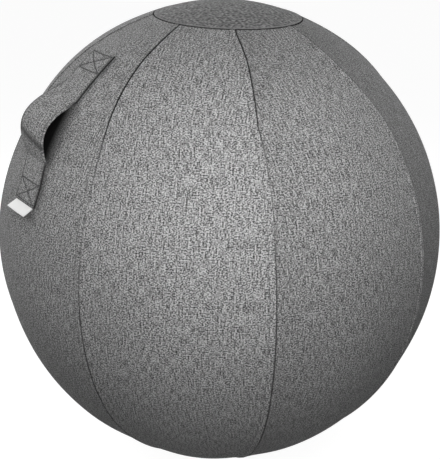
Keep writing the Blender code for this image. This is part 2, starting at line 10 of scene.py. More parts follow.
import bmesh
import bpy
import numpy as np
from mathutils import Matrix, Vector

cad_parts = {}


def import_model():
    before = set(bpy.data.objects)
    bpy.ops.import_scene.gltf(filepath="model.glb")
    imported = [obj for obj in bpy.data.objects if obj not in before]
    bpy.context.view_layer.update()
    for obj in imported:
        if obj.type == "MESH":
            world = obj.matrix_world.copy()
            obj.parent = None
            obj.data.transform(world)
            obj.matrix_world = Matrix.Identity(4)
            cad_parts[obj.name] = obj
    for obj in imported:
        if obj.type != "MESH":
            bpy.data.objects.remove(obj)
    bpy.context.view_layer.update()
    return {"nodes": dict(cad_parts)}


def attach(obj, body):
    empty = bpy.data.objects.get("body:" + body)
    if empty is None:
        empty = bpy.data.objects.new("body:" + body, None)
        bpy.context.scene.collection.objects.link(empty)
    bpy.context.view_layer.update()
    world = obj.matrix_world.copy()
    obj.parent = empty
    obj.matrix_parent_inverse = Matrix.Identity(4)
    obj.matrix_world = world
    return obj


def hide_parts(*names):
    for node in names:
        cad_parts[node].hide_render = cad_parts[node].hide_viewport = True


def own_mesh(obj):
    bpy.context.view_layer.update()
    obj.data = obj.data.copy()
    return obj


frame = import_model()

# Cover, as in the CAD model
PANEL_COUNT = 8
EQUATOR_RADIUS = 0.3175
SEAM_RISE = 0.0055
RIM_RADIUS = 0.109
RIM_HEIGHT = 0.3166
FOOT_RADIUS = 0.060
SEAM_GAP = 0.0004
CLEARANCE = 0.0003
CLOTH = 0.0014

# Zip, as in the CAD model
ZIP_PANEL = 1
ZIP_DROP = 0.262
ZIP_RISE = 0.205
ZIP_PITCH = 0.006
TOOTH_GAP = 0.0006
TOOTH_REACH = 0.0012
BEAD_WIDTH = 0.0013
CHAIN_HEIGHT = 0.0029
TAPE_WIDTH = 0.0130
TAPE_THICKNESS = 0.0007
STOP_LENGTH = 0.0028
SLIDER_LENGTH = 0.0130
SLIDER_WALL = 0.0011
SLIDER_PLAY = 0.0006
SLOT_PLAY = 0.0009
SLOT_END = 0.0030
POST_LENGTH = 0.0016

# Carrying strap and label, as in the CAD model
STRAP_WIDTH = 0.061
STRAP_THICKNESS = 0.0030
STRAP_TOP = 0.074
STRAP_BOTTOM = 0.297
STRAP_SHIFT = 0.013
STRAP_SLANT = 0.004
LABEL_WIDTH = 0.050
LABEL_LENGTH = 0.0155
LABEL_PLY = 0.0005
LABEL_INSET = 0.0015
LABEL_TILT = math.radians(42)

# The strap's arch follows the photograph instead: its values at the strap's far and near edge
ARCH_STARTS = (0.122, 0.151)
ARCH_ENDS = (0.235, 0.239)
ARCH_HEIGHTS = (0.0253, 0.0185)
ARCH_LEANS = (1.58, 1.18)  # exponents: the larger, the further down its crown sits
ARCH_ROUND = 0.96  # exponent: the smaller, the fuller the arch
# So do its sideways bends above and below the arch: (size, place, length)
SWAYS = ((0.0024, 0.110, 0.040), (0.0104, 0.270, 0.034))

# Sewing
FELL_WIDTH = 0.0083  # folded seam allowance, a little narrower than in the CAD model
PLY = 0.0005  # one layer of the cover's cloth
TUCK = 0.0013  # how far a folded edge turns in
LAP_ROLL = 0.0012  # width of the rounding of a folded edge
UNDER_REACH = 0.0025  # how far a panel goes on under the fold that laps over it
UNDER_DEPTH = 0.0015
UNDER_START = 0.0004  # where it comes up again, from the seam, and over what width
UNDER_RISE = 0.0018
SHADE_DEPTH = 0.0010  # depth from which a seam is painted in full shade
LAP_RISE = 0.0008
STITCH_SINK = 0.0004  # dent along a row of stitches
STITCH_REACH = 0.0008
STITCH_PITCH = 0.0034
STITCH_SHARE = 0.86  # of the pitch that shows as thread
THREAD_RADIUS = 0.00030
STITCH_SIDES = 6  # points round a stitch, and rings along it
PUCKER = 0.00010  # cloth drawn in along the stitches
PUCKER_LENGTH = 0.013
PUCKER_REACH = 0.006
PUCKER_EDGE = 0.002
SLACK = 0.00025  # broad waves of the stretched cloth, their lengths, and how far they keep from the seams
SLACK_DOWN = 0.17
SLACK_ACROSS = 0.11
SLACK_EDGE = 0.03
RIDGE_RISE = 0.0008  # the seams stand up as ridges, with flat flanks beside them
RIDGE_DIP = 0.0012
RIDGE_FADE = 0.090  # distance from the round end panels over which the ridges start
# The full ball draws the cover round: shares of the seams' rise that its panels swell and its seams sink by
SWELL_SHARE = 0.36
SINK_SHARE = 0.55
HOLD_FADE = 0.07  # distance over which the stiff zip stops holding its seam up
LABEL_HOLD = 0.045  # the strap holds the cover down so far round the label
LOW_SINK_SHARE = 1.1  # how much more two seams sink near the base, and from what station
LOW_SINK_SEAMS = (4, 5)
LOW_SINK_START = 0.72
LOW_SINK_REACH = 0.15
# Behind the strap's upper end the cover is fuller: height, direction and half angle of the swelling
FULL_HEIGHT = 0.0042
FULL_WAY = (-0.47, 0.41, 0.78)
FULL_WIDTH = math.radians(17)
# The cloth inside the strap's loop is painted in shade: widths over which the shade starts and ends along the
# strap, how far it goes on below the arch and out beside the strap, and the width of its soft edge
LOOP_FADES = (0.020, 0.012)
LOOP_BELOW = 0.004
LOOP_BESIDE = 0.012
LOOP_SOFT = 0.026
ZIP_STITCH_INSET = 0.0040
# How far the seams gape along their stations: 0 is drawn flat, and 1 is as deep as a plain lap
GAPE_STATIONS = (0, 0.12, 0.20, 0.25, 0.33, 0.42, 0.60, 1)
SEAM_GAPES = {
    4: (2.8, 2.8, 1.9, 0.5, 0.08, 0.4, 1.2, 1.5),
    5: (1.3, 1.3, 0.8, 0.3, 0.05, 0.75, 1.3, 1.6),
}
COMMON_GAPES = (1.1, 1.0, 0.5, 0.45, 0.4, 0.6, 0.9, 1.1)
TOP_PAINTED_SHADE = 0.20  # painted shade: the panels are darker beside the cap
TOP_SHADE_REACH = 0.090
# Painted light and shade of the panels at their two seams: each panel is lighter or darker across its width,
# standing in for how light falls on the ridged seams
PANEL_PAINTED_LIGHT = (
    (0.90, 0.96), (0.98, 1.02), (0.93, 0.97), (1.0, 0.97),
    (0.99, 1.0), (1.03, 1.10), (0.87, 1.14), (0.66, 0.90),
)

# The cap is cut a little smaller than the CAD's round panel, and sits slightly askew on the ball.
CAP_TRIM = 0.0075
CAP_SLIDE = np.array((0.0053, -0.0127, 0.0))
CAP_TWIST = math.radians(-4.4)
SETTLE_FULL = math.radians(26)  # angles from the top within which the cover is askew, fully and at all
SETTLE_END = math.radians(55)
# Two seams bend aside in the upper part: by how much, at each angle from the top
LEAN_ANGLES = np.radians((19, 22, 25, 28, 31, 36, 42, 47, 60))
SEAM_LEANS = {
    4: np.radians((-1.0, -0.8, -0.8, -1.0, -1.2, -1.1, -1.1, -1.1, 0)),
    5: np.radians((-2.9, -1.5, -0.3, 0.5, 0.8, 0.7, 0.0, -0.8, 0)),
}

# Fineness
ROWS = 150
INNER_COLUMNS = 34
ROUND_STEPS = 192

CLOTH_MAP = "cloth"  # UV map in metres along the cloth
# painted shade in seams, hollows, creases and along stitches, from 0 to 1
PAINTED_SHADE_MARK = "painted_shade"
# painted light and shade of each panel
PAINTED_LIGHT_MARK = "panel_painted_light"
# painted highlight on folded edges
HIGHLIGHT_MARK = "painted_highlight"
SECTOR = 2 * math.pi / PANEL_COUNT
STRAP_PANEL = PANEL_COUNT // 2
ZIP_NEXT = (ZIP_PANEL + 1) % PANEL_COUNT  # the panel on the zip's other side


# Shape of the cover


def side_arc(equator_radius):
    """Centre offset, radius and half angle of the arc from rim to rim through the equator."""
    offset = (RIM_RADIUS**2 + RIM_HEIGHT**2 - equator_radius**2) / (2 * (equator_radius - RIM_RADIUS))
    return offset, equator_radius + offset, math.atan2(RIM_HEIGHT, RIM_RADIUS + offset)


MID_OFFSET, MID_RADIUS, MID_ANGLE = side_arc(EQUATOR_RADIUS)
SEAM_OFFSET, SEAM_RADIUS, SEAM_ANGLE = side_arc(EQUATOR_RADIUS + SEAM_RISE)
PANEL_LENGTH = 2 * MID_ANGLE * MID_RADIUS
DOME_RADIUS = MID_RADIUS - MID_OFFSET / math.cos(MID_ANGLE)
DOME_RISE = MID_OFFSET * math.tan(MID_ANGLE)
DOME_SPAN = math.pi / 2 - MID_ANGLE
EQUATOR_HEIGHT = DOME_RISE + math.sqrt(DOME_RADIUS**2 - FOOT_RADIUS**2)
MIDDLE = np.array((0, 0, EQUATOR_HEIGHT))


def ring(station):
    """Middle and heights of a panel's cross-sections, and the radius and half angle of their arcs."""
    mid_turn = MID_ANGLE * (1 - 2 * station)
    seam_turn = SEAM_ANGLE * (1 - 2 * station)
    mid_out = MID_RADIUS * np.cos(mid_turn) - MID_OFFSET
    seam_out = SEAM_RADIUS * np.cos(seam_turn) - SEAM_OFFSET
    chord = seam_out * math.sin(SECTOR / 2)
    bulge = mid_out - seam_out * math.cos(SECTOR / 2)
    radius = (chord**2 + bulge**2) / (2 * bulge)
    heights = MID_RADIUS * np.sin(mid_turn), SEAM_RADIUS * np.sin(seam_turn)
    return mid_out, heights, radius, np.arcsin(chord / radius)


def half_width(station):
    """Distance along the cloth from a panel's centre line to its seam."""
    _, _, radius, angle = ring(station)
    return radius * angle


def flat_points(station, side):
    """Points of the panel that faces +X."""
    mid_out, (mid_up, seam_up), radius, angle = ring(station)
    turn = side / radius
    out = mid_out - radius + radius * np.cos(turn)
    up = EQUATOR_HEIGHT + mid_up + (seam_up - mid_up) * (turn / angle) ** 2
    return np.stack((out, radius * np.sin(turn), up), axis=-1)


def unit(vectors):
    return vectors / np.linalg.norm(vectors, axis=-1, keepdims=True)


def panel_frame(panel, station, side):
    """Points on a panel's outside, the ways down and across it, and its outward normals."""
    station, side = np.broadcast_arrays(np.asarray(station, float), np.asarray(side, float))
    step = 1e-4
    down = unit(flat_points(station + step, side) - flat_points(station - step, side))
    across = unit(flat_points(station, side + step) - flat_points(station, side - step))
    cos, sin = math.cos(panel * SECTOR), math.sin(panel * SECTOR)
    turn = np.array(((cos, sin, 0), (-sin, cos, 0), (0, 0, 1)))
    down, across = down @ turn, across @ turn
    return flat_points(station, side) @ turn, down, across, unit(np.cross(across, -down))


def panel_points(panel, station, side, lift=0.0):
    point, _, _, normal = panel_frame(panel, station, side)
    return point + normal * np.asarray(lift, float)[..., None]


def settle(points):
    """Turn and slide the top of the cover along the ball to where it sits."""
    way = points - MIDDLE
    x, y, up = way[..., 0], way[..., 1], way[..., 2]
    reach = np.linalg.norm(way, axis=-1)
    angle = np.arccos(np.clip(up / reach, -1, 1))
    share = 1 - smooth_step((angle - SETTLE_FULL) / (SETTLE_END - SETTLE_FULL))
    turn = CAP_TWIST * share
    azimuth = np.arctan2(y, x)
    for panel, leans in SEAM_LEANS.items():
        apart = np.abs((azimuth - (panel + 0.5) * SECTOR + math.pi) % (2 * math.pi) - math.pi)
        turn = turn + (1 - smooth_step(apart / SECTOR)) * np.interp(angle, LEAN_ANGLES, leans)
    cos, sin = np.cos(turn), np.sin(turn)
    way = np.stack((x * cos - y * sin, x * sin + y * cos, up), axis=-1)
    slide = np.linalg.norm(CAP_SLIDE)
    axis = np.array((-CAP_SLIDE[1], CAP_SLIDE[0], 0)) / slide
    lean = (share * slide / reach)[..., None]
    along = (way @ axis)[..., None] * axis
    return MIDDLE + along + (way - along) * np.cos(lean) + np.cross(axis, way) * np.sin(lean)


# Zip levels, as heights above the seam's ridge

CHAIN_HALF = TOOTH_REACH + CLEARANCE + BEAD_WIDTH
SLIDER_HALF = CHAIN_HALF + SLIDER_PLAY + SLIDER_WALL
SLOT_HALF = SLIDER_HALF + SLOT_PLAY
TAPE_LEVEL = -(CLOTH + CLEARANCE)
CHAIN_FOOT = TAPE_LEVEL - TAPE_THICKNESS
ZIP_AZIMUTH = (ZIP_PANEL + 0.5) * SECTOR
CHAIN_START = -ZIP_DROP - SLIDER_LENGTH / 2 + POST_LENGTH + 3 * CLEARANCE
STOP_START = -ZIP_DROP - SLIDER_LENGTH / 2 - CLEARANCE - STOP_LENGTH
TOOTH_COUNT = int((ZIP_RISE - CHAIN_START) / ZIP_PITCH)
CHAIN_END = CHAIN_START + (TOOTH_COUNT + 0.5) * ZIP_PITCH
SLOT_LOW = STOP_START - SLOT_END
SLOT_HIGH = CHAIN_END + CLEARANCE + STOP_LENGTH + SLOT_END


def seam_station(length):
    """Station of a place on a seam, by its distance along the seam up from the equator."""
    return 0.5 - length / (2 * SEAM_ANGLE * SEAM_RADIUS)


def zip_points(length, side, height):
    """Points beside the zip seam."""
    length, side, height = np.broadcast_arrays(length, side, height)
    angle = length / SEAM_RADIUS
    out = (SEAM_RADIUS + height) * np.cos(angle) - SEAM_OFFSET
    up = EQUATOR_HEIGHT + (SEAM_RADIUS + height) * np.sin(angle)
    cos, sin = math.cos(ZIP_AZIMUTH), math.sin(ZIP_AZIMUTH)
    return np.stack((out * cos - side * sin, out * sin + side * cos, up), axis=-1)


# Tools for making pieces


def smooth_step(value):
    value = np.clip(value, 0, 1)
    return value * value * (3 - 2 * value)


def bell(value, width):
    """1 where the value is 0, and next to nothing beyond twice the width."""
    return np.exp(-((value / width) ** 2))


def quarter(value):
    """Height of a quarter of an ellipse, from 0 at 0 to 1 at 1."""
    return np.sqrt(1 - (1 - np.clip(value, 0, 1)) ** 2)


def waver(phase):
    """A smooth wave that doesn't repeat, from about -1 to 1."""
    return (np.sin(phase) + 0.7 * np.sin(1.73 * phase + 1.1) + 0.5 * np.sin(0.59 * phase + 2.3)) / 2.2


def grid_faces(rows, columns, closed=False, first=0):
    """Quads over a grid of points; a closed grid joins its last column to its first."""
    wide = columns if closed else columns - 1
    row, column = np.meshgrid(np.arange(rows - 1), np.arange(wide), indexing="ij")
    after = (column + 1) % columns
    corners = (row * columns + column, (row + 1) * columns + column)
    corners += ((row + 1) * columns + after, row * columns + after)
    return (np.stack(corners, axis=-1).reshape(-1, 4) + first).tolist()


def add_object(name, data):
    obj = bpy.data.objects.new(name, data)
    bpy.context.scene.collection.objects.link(obj)
    return obj


def make_piece(name, points, faces, uv=None, body="cover"):
    """A smooth-shaded mesh object that rides on a body."""
    mesh = bpy.data.meshes.new(name)
    mesh.from_pydata(np.asarray(points).reshape(-1, 3).tolist(), [], faces)
    if uv is not None:
        corners = np.empty(len(mesh.loops), np.int32)
        mesh.loops.foreach_get("vertex_index", corners)
        layer = mesh.uv_layers.new(name=CLOTH_MAP)
        layer.uv.foreach_set("vector", np.asarray(uv, np.float32).reshape(-1, 2)[corners].ravel())
    mesh.shade_smooth()
    obj = add_object(name, mesh)
    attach(obj, body)
    return obj


def face_outward(obj, merge=0.0):
    """Turn all faces of a closed piece outward, once points nearer than a distance are merged."""
    bm = bmesh.new()
    bm.from_mesh(obj.data)
    if merge:
        bmesh.ops.remove_doubles(bm, verts=bm.verts, dist=merge)
    bmesh.ops.recalc_face_normals(bm, faces=bm.faces)
    bm.to_mesh(obj.data)
    bm.free()


def mark_points(obj, mark, values):
    """Note a number at each point of a piece, for its material."""
    layer = obj.data.attributes.new(mark, "FLOAT", "POINT")
    layer.data.foreach_set("value", np.asarray(values, np.float32).ravel())


def mark_painted_shade(obj, depth):
    """Note how dark the painted shade is at each point of a piece, from 0 to 1, in its seams, hollows, creases
    and along its stitches.
    """
    mark_points(obj, PAINTED_SHADE_MARK, np.clip(depth, 0, 1))


def thicken(obj, thickness):
    """Give a piece of cloth its thickness, inward."""
    modifier = obj.modifiers.new("thickness", "SOLIDIFY")
    modifier.thickness = thickness
    modifier.offset = -1


def finish_piece(obj, material, slot, *nodes):
    """Set a piece's material and hide the CAD nodes that it stands for; the slot is not used."""
    obj.data.materials.clear()
    obj.data.materials.append(material)
    if nodes:
        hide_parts(*nodes)


def run_lengths(path):
    """Distance of each point along a path from its start."""
    return np.concatenate(((0,), np.cumsum(np.linalg.norm(np.diff(path, axis=0), axis=1))))


def stitch_row(name, paths, material, slot, pitch=STITCH_PITCH, radius=THREAD_RADIUS):
    """Rows of single stitches along paths, each a pair of arrays of points and outward normals."""
    rings = np.linspace(0, 1, STITCH_SIDES)
    around = np.arange(STITCH_SIDES)[:, None] * 2 * math.pi / STITCH_SIDES
    # A stitch comes up out of the cloth, lies on it and goes down again.
    swell = np.sin(math.pi * (0.08 + 0.84 * rings)) ** 0.6
    points, faces = [], []
    for path, normals in paths:
        length = run_lengths(path)
        count = max(1, int(length[-1] / pitch))
        spacing = length[-1] / count
        for stitch in range(count):
            places = spacing * (stitch + (1 - STITCH_SHARE) / 2 + STITCH_SHARE * rings)
            middle = np.stack([np.interp(places, length, column) for column in path.T], axis=-1)
            out = unit(np.stack([np.interp(places, length, column) for column in normals.T], axis=-1))
            across = np.cross(unit(np.gradient(middle, axis=0)), out)
            middle = middle + out * (radius * (2.2 * swell - 1.5))[:, None]
            spread = radius * (0.55 + 0.45 * swell)[:, None, None]
            loop = np.cos(around) * across[:, None] + np.sin(around) * out[:, None]
            first = STITCH_SIDES**2 * len(points)
            points.append((middle[:, None] + spread * loop).reshape(-1, 3))
            faces += grid_faces(STITCH_SIDES, STITCH_SIDES, closed=True, first=first)
            end = list(range(first, first + STITCH_SIDES**2))
            faces += [end[:STITCH_SIDES], end[: -STITCH_SIDES - 1 : -1]]
    finish_piece(make_piece(name, np.concatenate(points), faces), material, slot)


# Materials


class Look:
    """A material or world, and short ways to add and join its nodes."""

    def __init__(self, name, world=False):
        self.holder = (bpy.data.worlds if world else bpy.data.materials).new(name)
        self.holder.use_nodes = True
        self.tree = self.holder.node_tree

    def add(self, kind, **settings):
        node = self.tree.nodes.new(kind)
        for key, value in settings.items():
            setattr(node, key, value)
        return node

    def put(self, value, socket):
        """Link a socket to an input, or set the input to a number or colour."""
        if isinstance(value, bpy.types.NodeSocket):
            self.tree.links.new(value, socket)
        else:
            socket.default_value = value

    def set(self, name, value):
        self.put(value, self.tree.nodes["Principled BSDF"].inputs[name])

    def join(self, kind, *values, **settings):
        """Output of a new node whose first inputs take the values."""
        node = self.add(kind, **settings)
        for value, socket in zip(values, node.inputs):
            self.put(value, socket)
        return node.outputs[0]

    def math(self, operation, *values):
        return self.join("ShaderNodeMath", *values, operation=operation)

    def times(self, first, second):
        return self.math("MULTIPLY", first, second)

    def line(self, value, slope, start):
        return self.math("MULTIPLY_ADD", value, slope, start)

    def wave(self, value, length):
        return self.math("SINE", self.times(value, 2 * math.pi / length))

    def spread(self, value, low, high, new_low=0.0, new_high=1.0):
        """Map the range from low to high onto another one, and cut off what lies beyond."""
        return self.join("ShaderNodeMapRange", value, low, high, new_low, new_high)

    def mix(self, share, first, second):
        node = self.add("ShaderNodeMix", data_type="FLOAT")
        for value, place in ((share, 0), (first, 2), (second, 3)):
            self.put(value, node.inputs[place])
        return node.outputs[0]

    def tint(self, share, first, second):
        """Blend of two colours, each a tuple or a socket."""
        node = self.add("ShaderNodeMix", data_type="RGBA")
        for value, place in ((share, 0), (first, 6), (second, 7)):
            self.put((*value, 1) if isinstance(value, tuple) else value, node.inputs[place])
        return node.outputs[2]

    def noise(self, vector, scale, detail=2.0, roughness=0.5):
        node = self.add("ShaderNodeTexNoise")
        values = {"Vector": vector, "Scale": scale, "Detail": detail, "Roughness": roughness}
        for name, value in values.items():
            self.put(value, node.inputs[name])
        return node.outputs[0]

    def mark(self, name):
        """The numbers that are noted at a piece's points."""
        return self.add("ShaderNodeAttribute", attribute_name=name).outputs["Fac"]

    def place(self):
        """The piece's own coordinates, in metres."""
        return self.add("ShaderNodeTexCoord").outputs["Object"]

    def cloth(self):
        """Coordinates in metres along the cloth: together, across and down."""
        vector = self.add("ShaderNodeUVMap", uv_map=CLOTH_MAP).outputs[0]
        split = self.add("ShaderNodeSeparateXYZ")
        self.put(vector, split.inputs[0])
        return vector, split.outputs[0], split.outputs[1]

    def seen(self):
        """1 for rays that show the background, straight or in a gloss."""
        path = self.add("ShaderNodeLightPath")
        share = path.outputs["Is Camera Ray"]
        for name in ("Is Glossy Ray", "Is Transmission Ray"):
            share = self.math("MAXIMUM", share, path.outputs[name])
        return share

    def bump(self, height, distance, strength):
        node = self.add("ShaderNodeBump")
        for name, value in (("Height", height), ("Distance", distance), ("Strength", strength)):
            self.put(value, node.inputs[name])
        self.set("Normal", node.outputs[0])


YARN = 0.00058  # spacing of the cover's yarns
YARN_WAVER = 0.8  # of a spacing
FLECK_WIDE = 0.0020  # size of the light and dark flecks that the yarns are spun with
FLECK_LONG = 0.0017
STREAK_LONG = 0.0150  # weak streaks down the panels
STREAK_SHARE = 0.28
TONE_EDGE = 0.195
TONE_POWER = 1.35
# tone that a painted highlight turns the cloth to
HIGHLIGHT_TONE = 0.75
SHADE_SHARE = 0.96  # of the flecks' brightness that is lost in full painted shade
HOLLOW_START = 0.4  # painted shade from which the cloth turns to the near-black tone of a shaded hollow, and how far it turns
HOLLOW_SHARE = 0.85
HOLLOW_SHADE_TONE = (0.004, 0.004, 0.004)
DULL_START = 0.8  # painted shade from which the cloth also loses its gloss
YARN_DARK = (0.045, 0.045, 0.045)
YARN_LIGHT = (0.570, 0.570, 0.570)


def melange_cloth(name, light=YARN_LIGHT, fleck=1.0):
    """Plain weave of yarns spun from light and dark fibres, so that each changes tone along its run."""
    look = Look(name)
    vector, across, down = look.cloth()
    bend = look.times(look.math("SUBTRACT", look.noise(vector, 40.0, 1.0), 0.5), YARN_WAVER * 4)
    x = look.math("ADD", look.math("DIVIDE", across, YARN), bend)
    y = look.math("SUBTRACT", look.math("DIVIDE", down, YARN), bend)
    warp, weft = look.math("FLOOR", x), look.math("FLOOR", y)
    warp_over = look.math("FLOORED_MODULO", look.math("ADD", warp, weft), 2.0)
    # A fleck fills the width of its yarn, and runs on along it.
    place_x = look.mix(warp_over, x, look.math("ADD", warp, 0.5))
    place_y = look.mix(warp_over, look.math("ADD", weft, 0.5), y)
    fleck_x = look.times(place_x, YARN / (FLECK_WIDE * fleck))
    fleck_y = look.times(place_y, YARN / (FLECK_LONG * fleck))
    flecks = look.noise(look.join("ShaderNodeCombineXYZ", fleck_x, fleck_y, 0.0), 1.0, 0.0)
    streak_y = look.times(place_y, YARN / STREAK_LONG)
    streaks = look.noise(look.join("ShaderNodeCombineXYZ", fleck_x, streak_y, 5.0), 1.0, 0.0)
    tone = look.spread(look.mix(STREAK_SHARE, flecks, streaks), 0.5 - TONE_EDGE, 0.5 + TONE_EDGE)
    tone = look.math("POWER", tone, TONE_POWER)
    # Each yarn is round and dips under its neighbours.
    parts = look.math("FRACT", x), look.math("FRACT", y)
    humps = [look.times(look.times(part, look.math("SUBTRACT", 1.0, part)), 4.0) for part in parts]
    warp_high = look.times(humps[0], look.line(humps[1], 0.5, 0.5))
    weft_high = look.times(humps[1], look.line(humps[0], 0.5, 0.5))
    height = look.mix(warp_over, weft_high, warp_high)
    fibre = look.noise(vector, 4200.0)
    # Painted shade darkens the dips between the yarns.
    shade = look.times(tone, look.line(height, 0.4, 0.75))
    shade = look.times(shade, look.line(fibre, 0.5, 0.75))
    shade = look.times(shade, look.line(look.noise(vector, 9.0), 0.24, 0.88))
    # Painted light and shade of each panel.
    shade = look.times(shade, look.math("ADD", look.mark(PAINTED_LIGHT_MARK), 1.0))
    # A folded edge is painted pale as a highlight, and painted shade darkens the cloth inside the seams and
    # hollows.
    shade = look.mix(look.mark(HIGHLIGHT_MARK), shade, HIGHLIGHT_TONE)
    depth = look.mark(PAINTED_SHADE_MARK)
    shade = look.times(shade, look.line(look.math("SQRT", depth), -SHADE_SHARE, 1.0))
    hollow = look.spread(depth, HOLLOW_START, 1.0, 0.0, HOLLOW_SHARE)
    look.set("Base Color", look.tint(hollow, look.tint(shade, YARN_DARK, light), HOLLOW_SHADE_TONE))
    look.set("Roughness", look.spread(tone, 0.0, 1.0, 0.95, 0.82))
    look.set("Specular IOR Level", look.spread(depth, DULL_START, 1.0, 0.25, 0.0))
    look.set("Sheen Weight", look.spread(depth, DULL_START, 1.0, 0.08, 0.0))
    look.set("Sheen Roughness", 0.45)
    look.bump(look.math("ADD", height, look.times(fibre, 0.25)), 0.00020, 0.6)
    return look.holder


def sewing_thread(name, dark, light):
    look = Look(name)
    ply = look.noise(look.place(), 2600.0, 1.0)
    look.set("Base Color", look.tint(ply, dark, light))
    look.set("Roughness", look.spread(ply, 0.3, 0.7, 0.75, 0.55))
    look.set("Sheen Weight", 0.2)
    look.bump(ply, 0.0001, 0.6)
    return look.holder


def satin_ribbon():
    """White ribbon with fine ribs and a soft shine."""
    look = Look("satin_ribbon")
    vector, across, down = look.cloth()
    weave = look.line(look.wave(across, 0.0007), 0.4, look.wave(down, 0.00028))
    cloud = look.noise(vector, 160.0, 3.0)
    tone = look.line(weave, 0.04, look.line(cloud, 0.4, 0.55))
    look.set("Base Color", look.tint(tone, (0.88, 0.88, 0.87), (0.95, 0.95, 0.94)))
    look.set("Roughness", look.spread(cloud, 0.3, 0.7, 0.42, 0.55))
    look.set("Sheen Weight", 0.15)
    look.bump(weave, 0.00006, 0.5)
    return look.holder


def zip_ribbon():
    """Woven zip tape with a herringbone rib."""
    look = Look("zip_ribbon")
    vector, across, down = look.cloth()
    fold = look.math("ABSOLUTE", look.wave(across, 0.0044))
    rib = look.math("SINE", look.line(fold, 2.0, look.times(down, 2 * math.pi / 0.0007)))
    fibre = look.noise(vector, 2200.0)
    tone = look.line(rib, 0.25, fibre)
    look.set("Base Color", look.tint(tone, (0.016, 0.016, 0.017), (0.060, 0.060, 0.062)))
    look.set("Roughness", look.spread(fibre, 0.3, 0.7, 0.9, 0.75))
    look.set("Sheen Weight", 0.2)
    look.bump(rib, 0.00008, 0.6)
    return look.holder


def plastic(name, dark, light, roughness, grain, clouds=120.0, bump=(0.00003, 0.4)):
    """Plastic with a fine grain and slightly uneven gloss; grain and clouds are scales of noise."""
    look = Look(name)
    place = look.place()
    cloud = look.noise(place, clouds, 3.0)
    look.set("Base Color", look.tint(cloud, dark, light))
    look.set("Roughness", look.spread(cloud, 0.3, 0.7, roughness - 0.06, roughness + 0.08))
    look.bump(look.noise(place, grain), *bump)
    return look.holder


def coated_zinc():
    """Dark coated metal, rubbed bright along its edges."""
    look = Look("coated_zinc")
    bright = look.add("ShaderNodeNewGeometry").outputs["Pointiness"]
    scratch = look.noise(look.place(), 900.0, 4.0, 0.7)
    pale_edge = look.times(look.spread(bright, 0.52, 0.60), look.spread(scratch, 0.35, 0.6))
    look.set("Base Color", look.tint(pale_edge, (0.085, 0.085, 0.09), (0.42, 0.42, 0.43)))
    look.set("Metallic", 0.9)
    look.set("Roughness", look.spread(scratch, 0.3, 0.7, 0.28, 0.45))
    look.bump(scratch, 0.00003, 0.3)
    return look.holder


COVER_CLOTH = melange_cloth("cover_cloth")
# The end panels' cloth is painted darker, as shade on the cap and base, and its flecks are coarser.
END_CLOTH_SHADED = melange_cloth("cover_cloth_ends_shaded", (0.275, 0.275, 0.275), fleck=1.9)
STRAP_CLOTH = melange_cloth("strap_cloth")
THREAD = sewing_thread("sewing_thread", (0.014, 0.014, 0.015), (0.052, 0.052, 0.054))
STRAP_THREAD = sewing_thread("strap_thread", (0.006, 0.006, 0.007), (0.022, 0.022, 0.023))


# Cover panels


def zip_opening(panel, high_side, station, fade=SLOT_END):
    """1 along the zip at a panel's edge, fading to 0 within a distance beyond its ends."""
    if panel != (ZIP_PANEL if high_side else ZIP_NEXT):
        return np.zeros_like(station)
    ramp = fade / PANEL_LENGTH
    opening = smooth_step((station - seam_station(SLOT_HIGH)) / ramp + 1)
    return opening * smooth_step((seam_station(SLOT_LOW) - station) / ramp + 1)


def edge_gap(panel, high_side, station):
    """Distance of a panel's edge from the seam: wide along the zip, below 0 where it goes under a fold."""
    closed = SEAM_GAP / 2 if high_side else -UNDER_REACH
    return closed + (SLOT_HALF - closed) * zip_opening(panel, high_side, station)


def fold_drop(distance, reach=LAP_ROLL, tuck=TUCK):
    """Drop of the cloth where it turns in over its edge."""
    return -tuck * (1 - quarter(distance / reach))


def under_drop(distance):
    """Drop of the cloth that goes under a fold; distance is from the seam."""
    return -UNDER_DEPTH * (1 - quarter((distance - UNDER_START) / UNDER_RISE))


def stitch_dent(distance):
    return -STITCH_SINK * bell(distance, STITCH_REACH)


def gape(panel, station):
    """How far the seam on a panel's high side gapes."""
    return np.interp(station, GAPE_STATIONS, SEAM_GAPES.get(panel % PANEL_COUNT, COMMON_GAPES))


def seam_drop(panel, station, side):
    """Drop of the cloth at the edges of its panel, into the seams."""
    half = half_width(station)
    down = station * PANEL_LENGTH
    opening = zip_opening(panel, False, station)
    low = (1 - opening) * gape(panel - 1, station) * under_drop(half + side)
    low += opening * fold_drop(half + side - edge_gap(panel, False, station))
    high = gape(panel, station) * fold_drop(half - side - edge_gap(panel, True, station))
    return np.minimum.reduce((high, low, under_drop(down + CAP_TRIM), under_drop(PANEL_LENGTH - down)))


def ridge_lift(share):
    """Height of the cloth beside a ridged seam; share is 0 on the centre line and 1 at the seam."""
    share = np.clip(share, 0, 1)
    return RIDGE_RISE * share**6 - RIDGE_DIP * share**3 * (1 - share) * 256 / 27


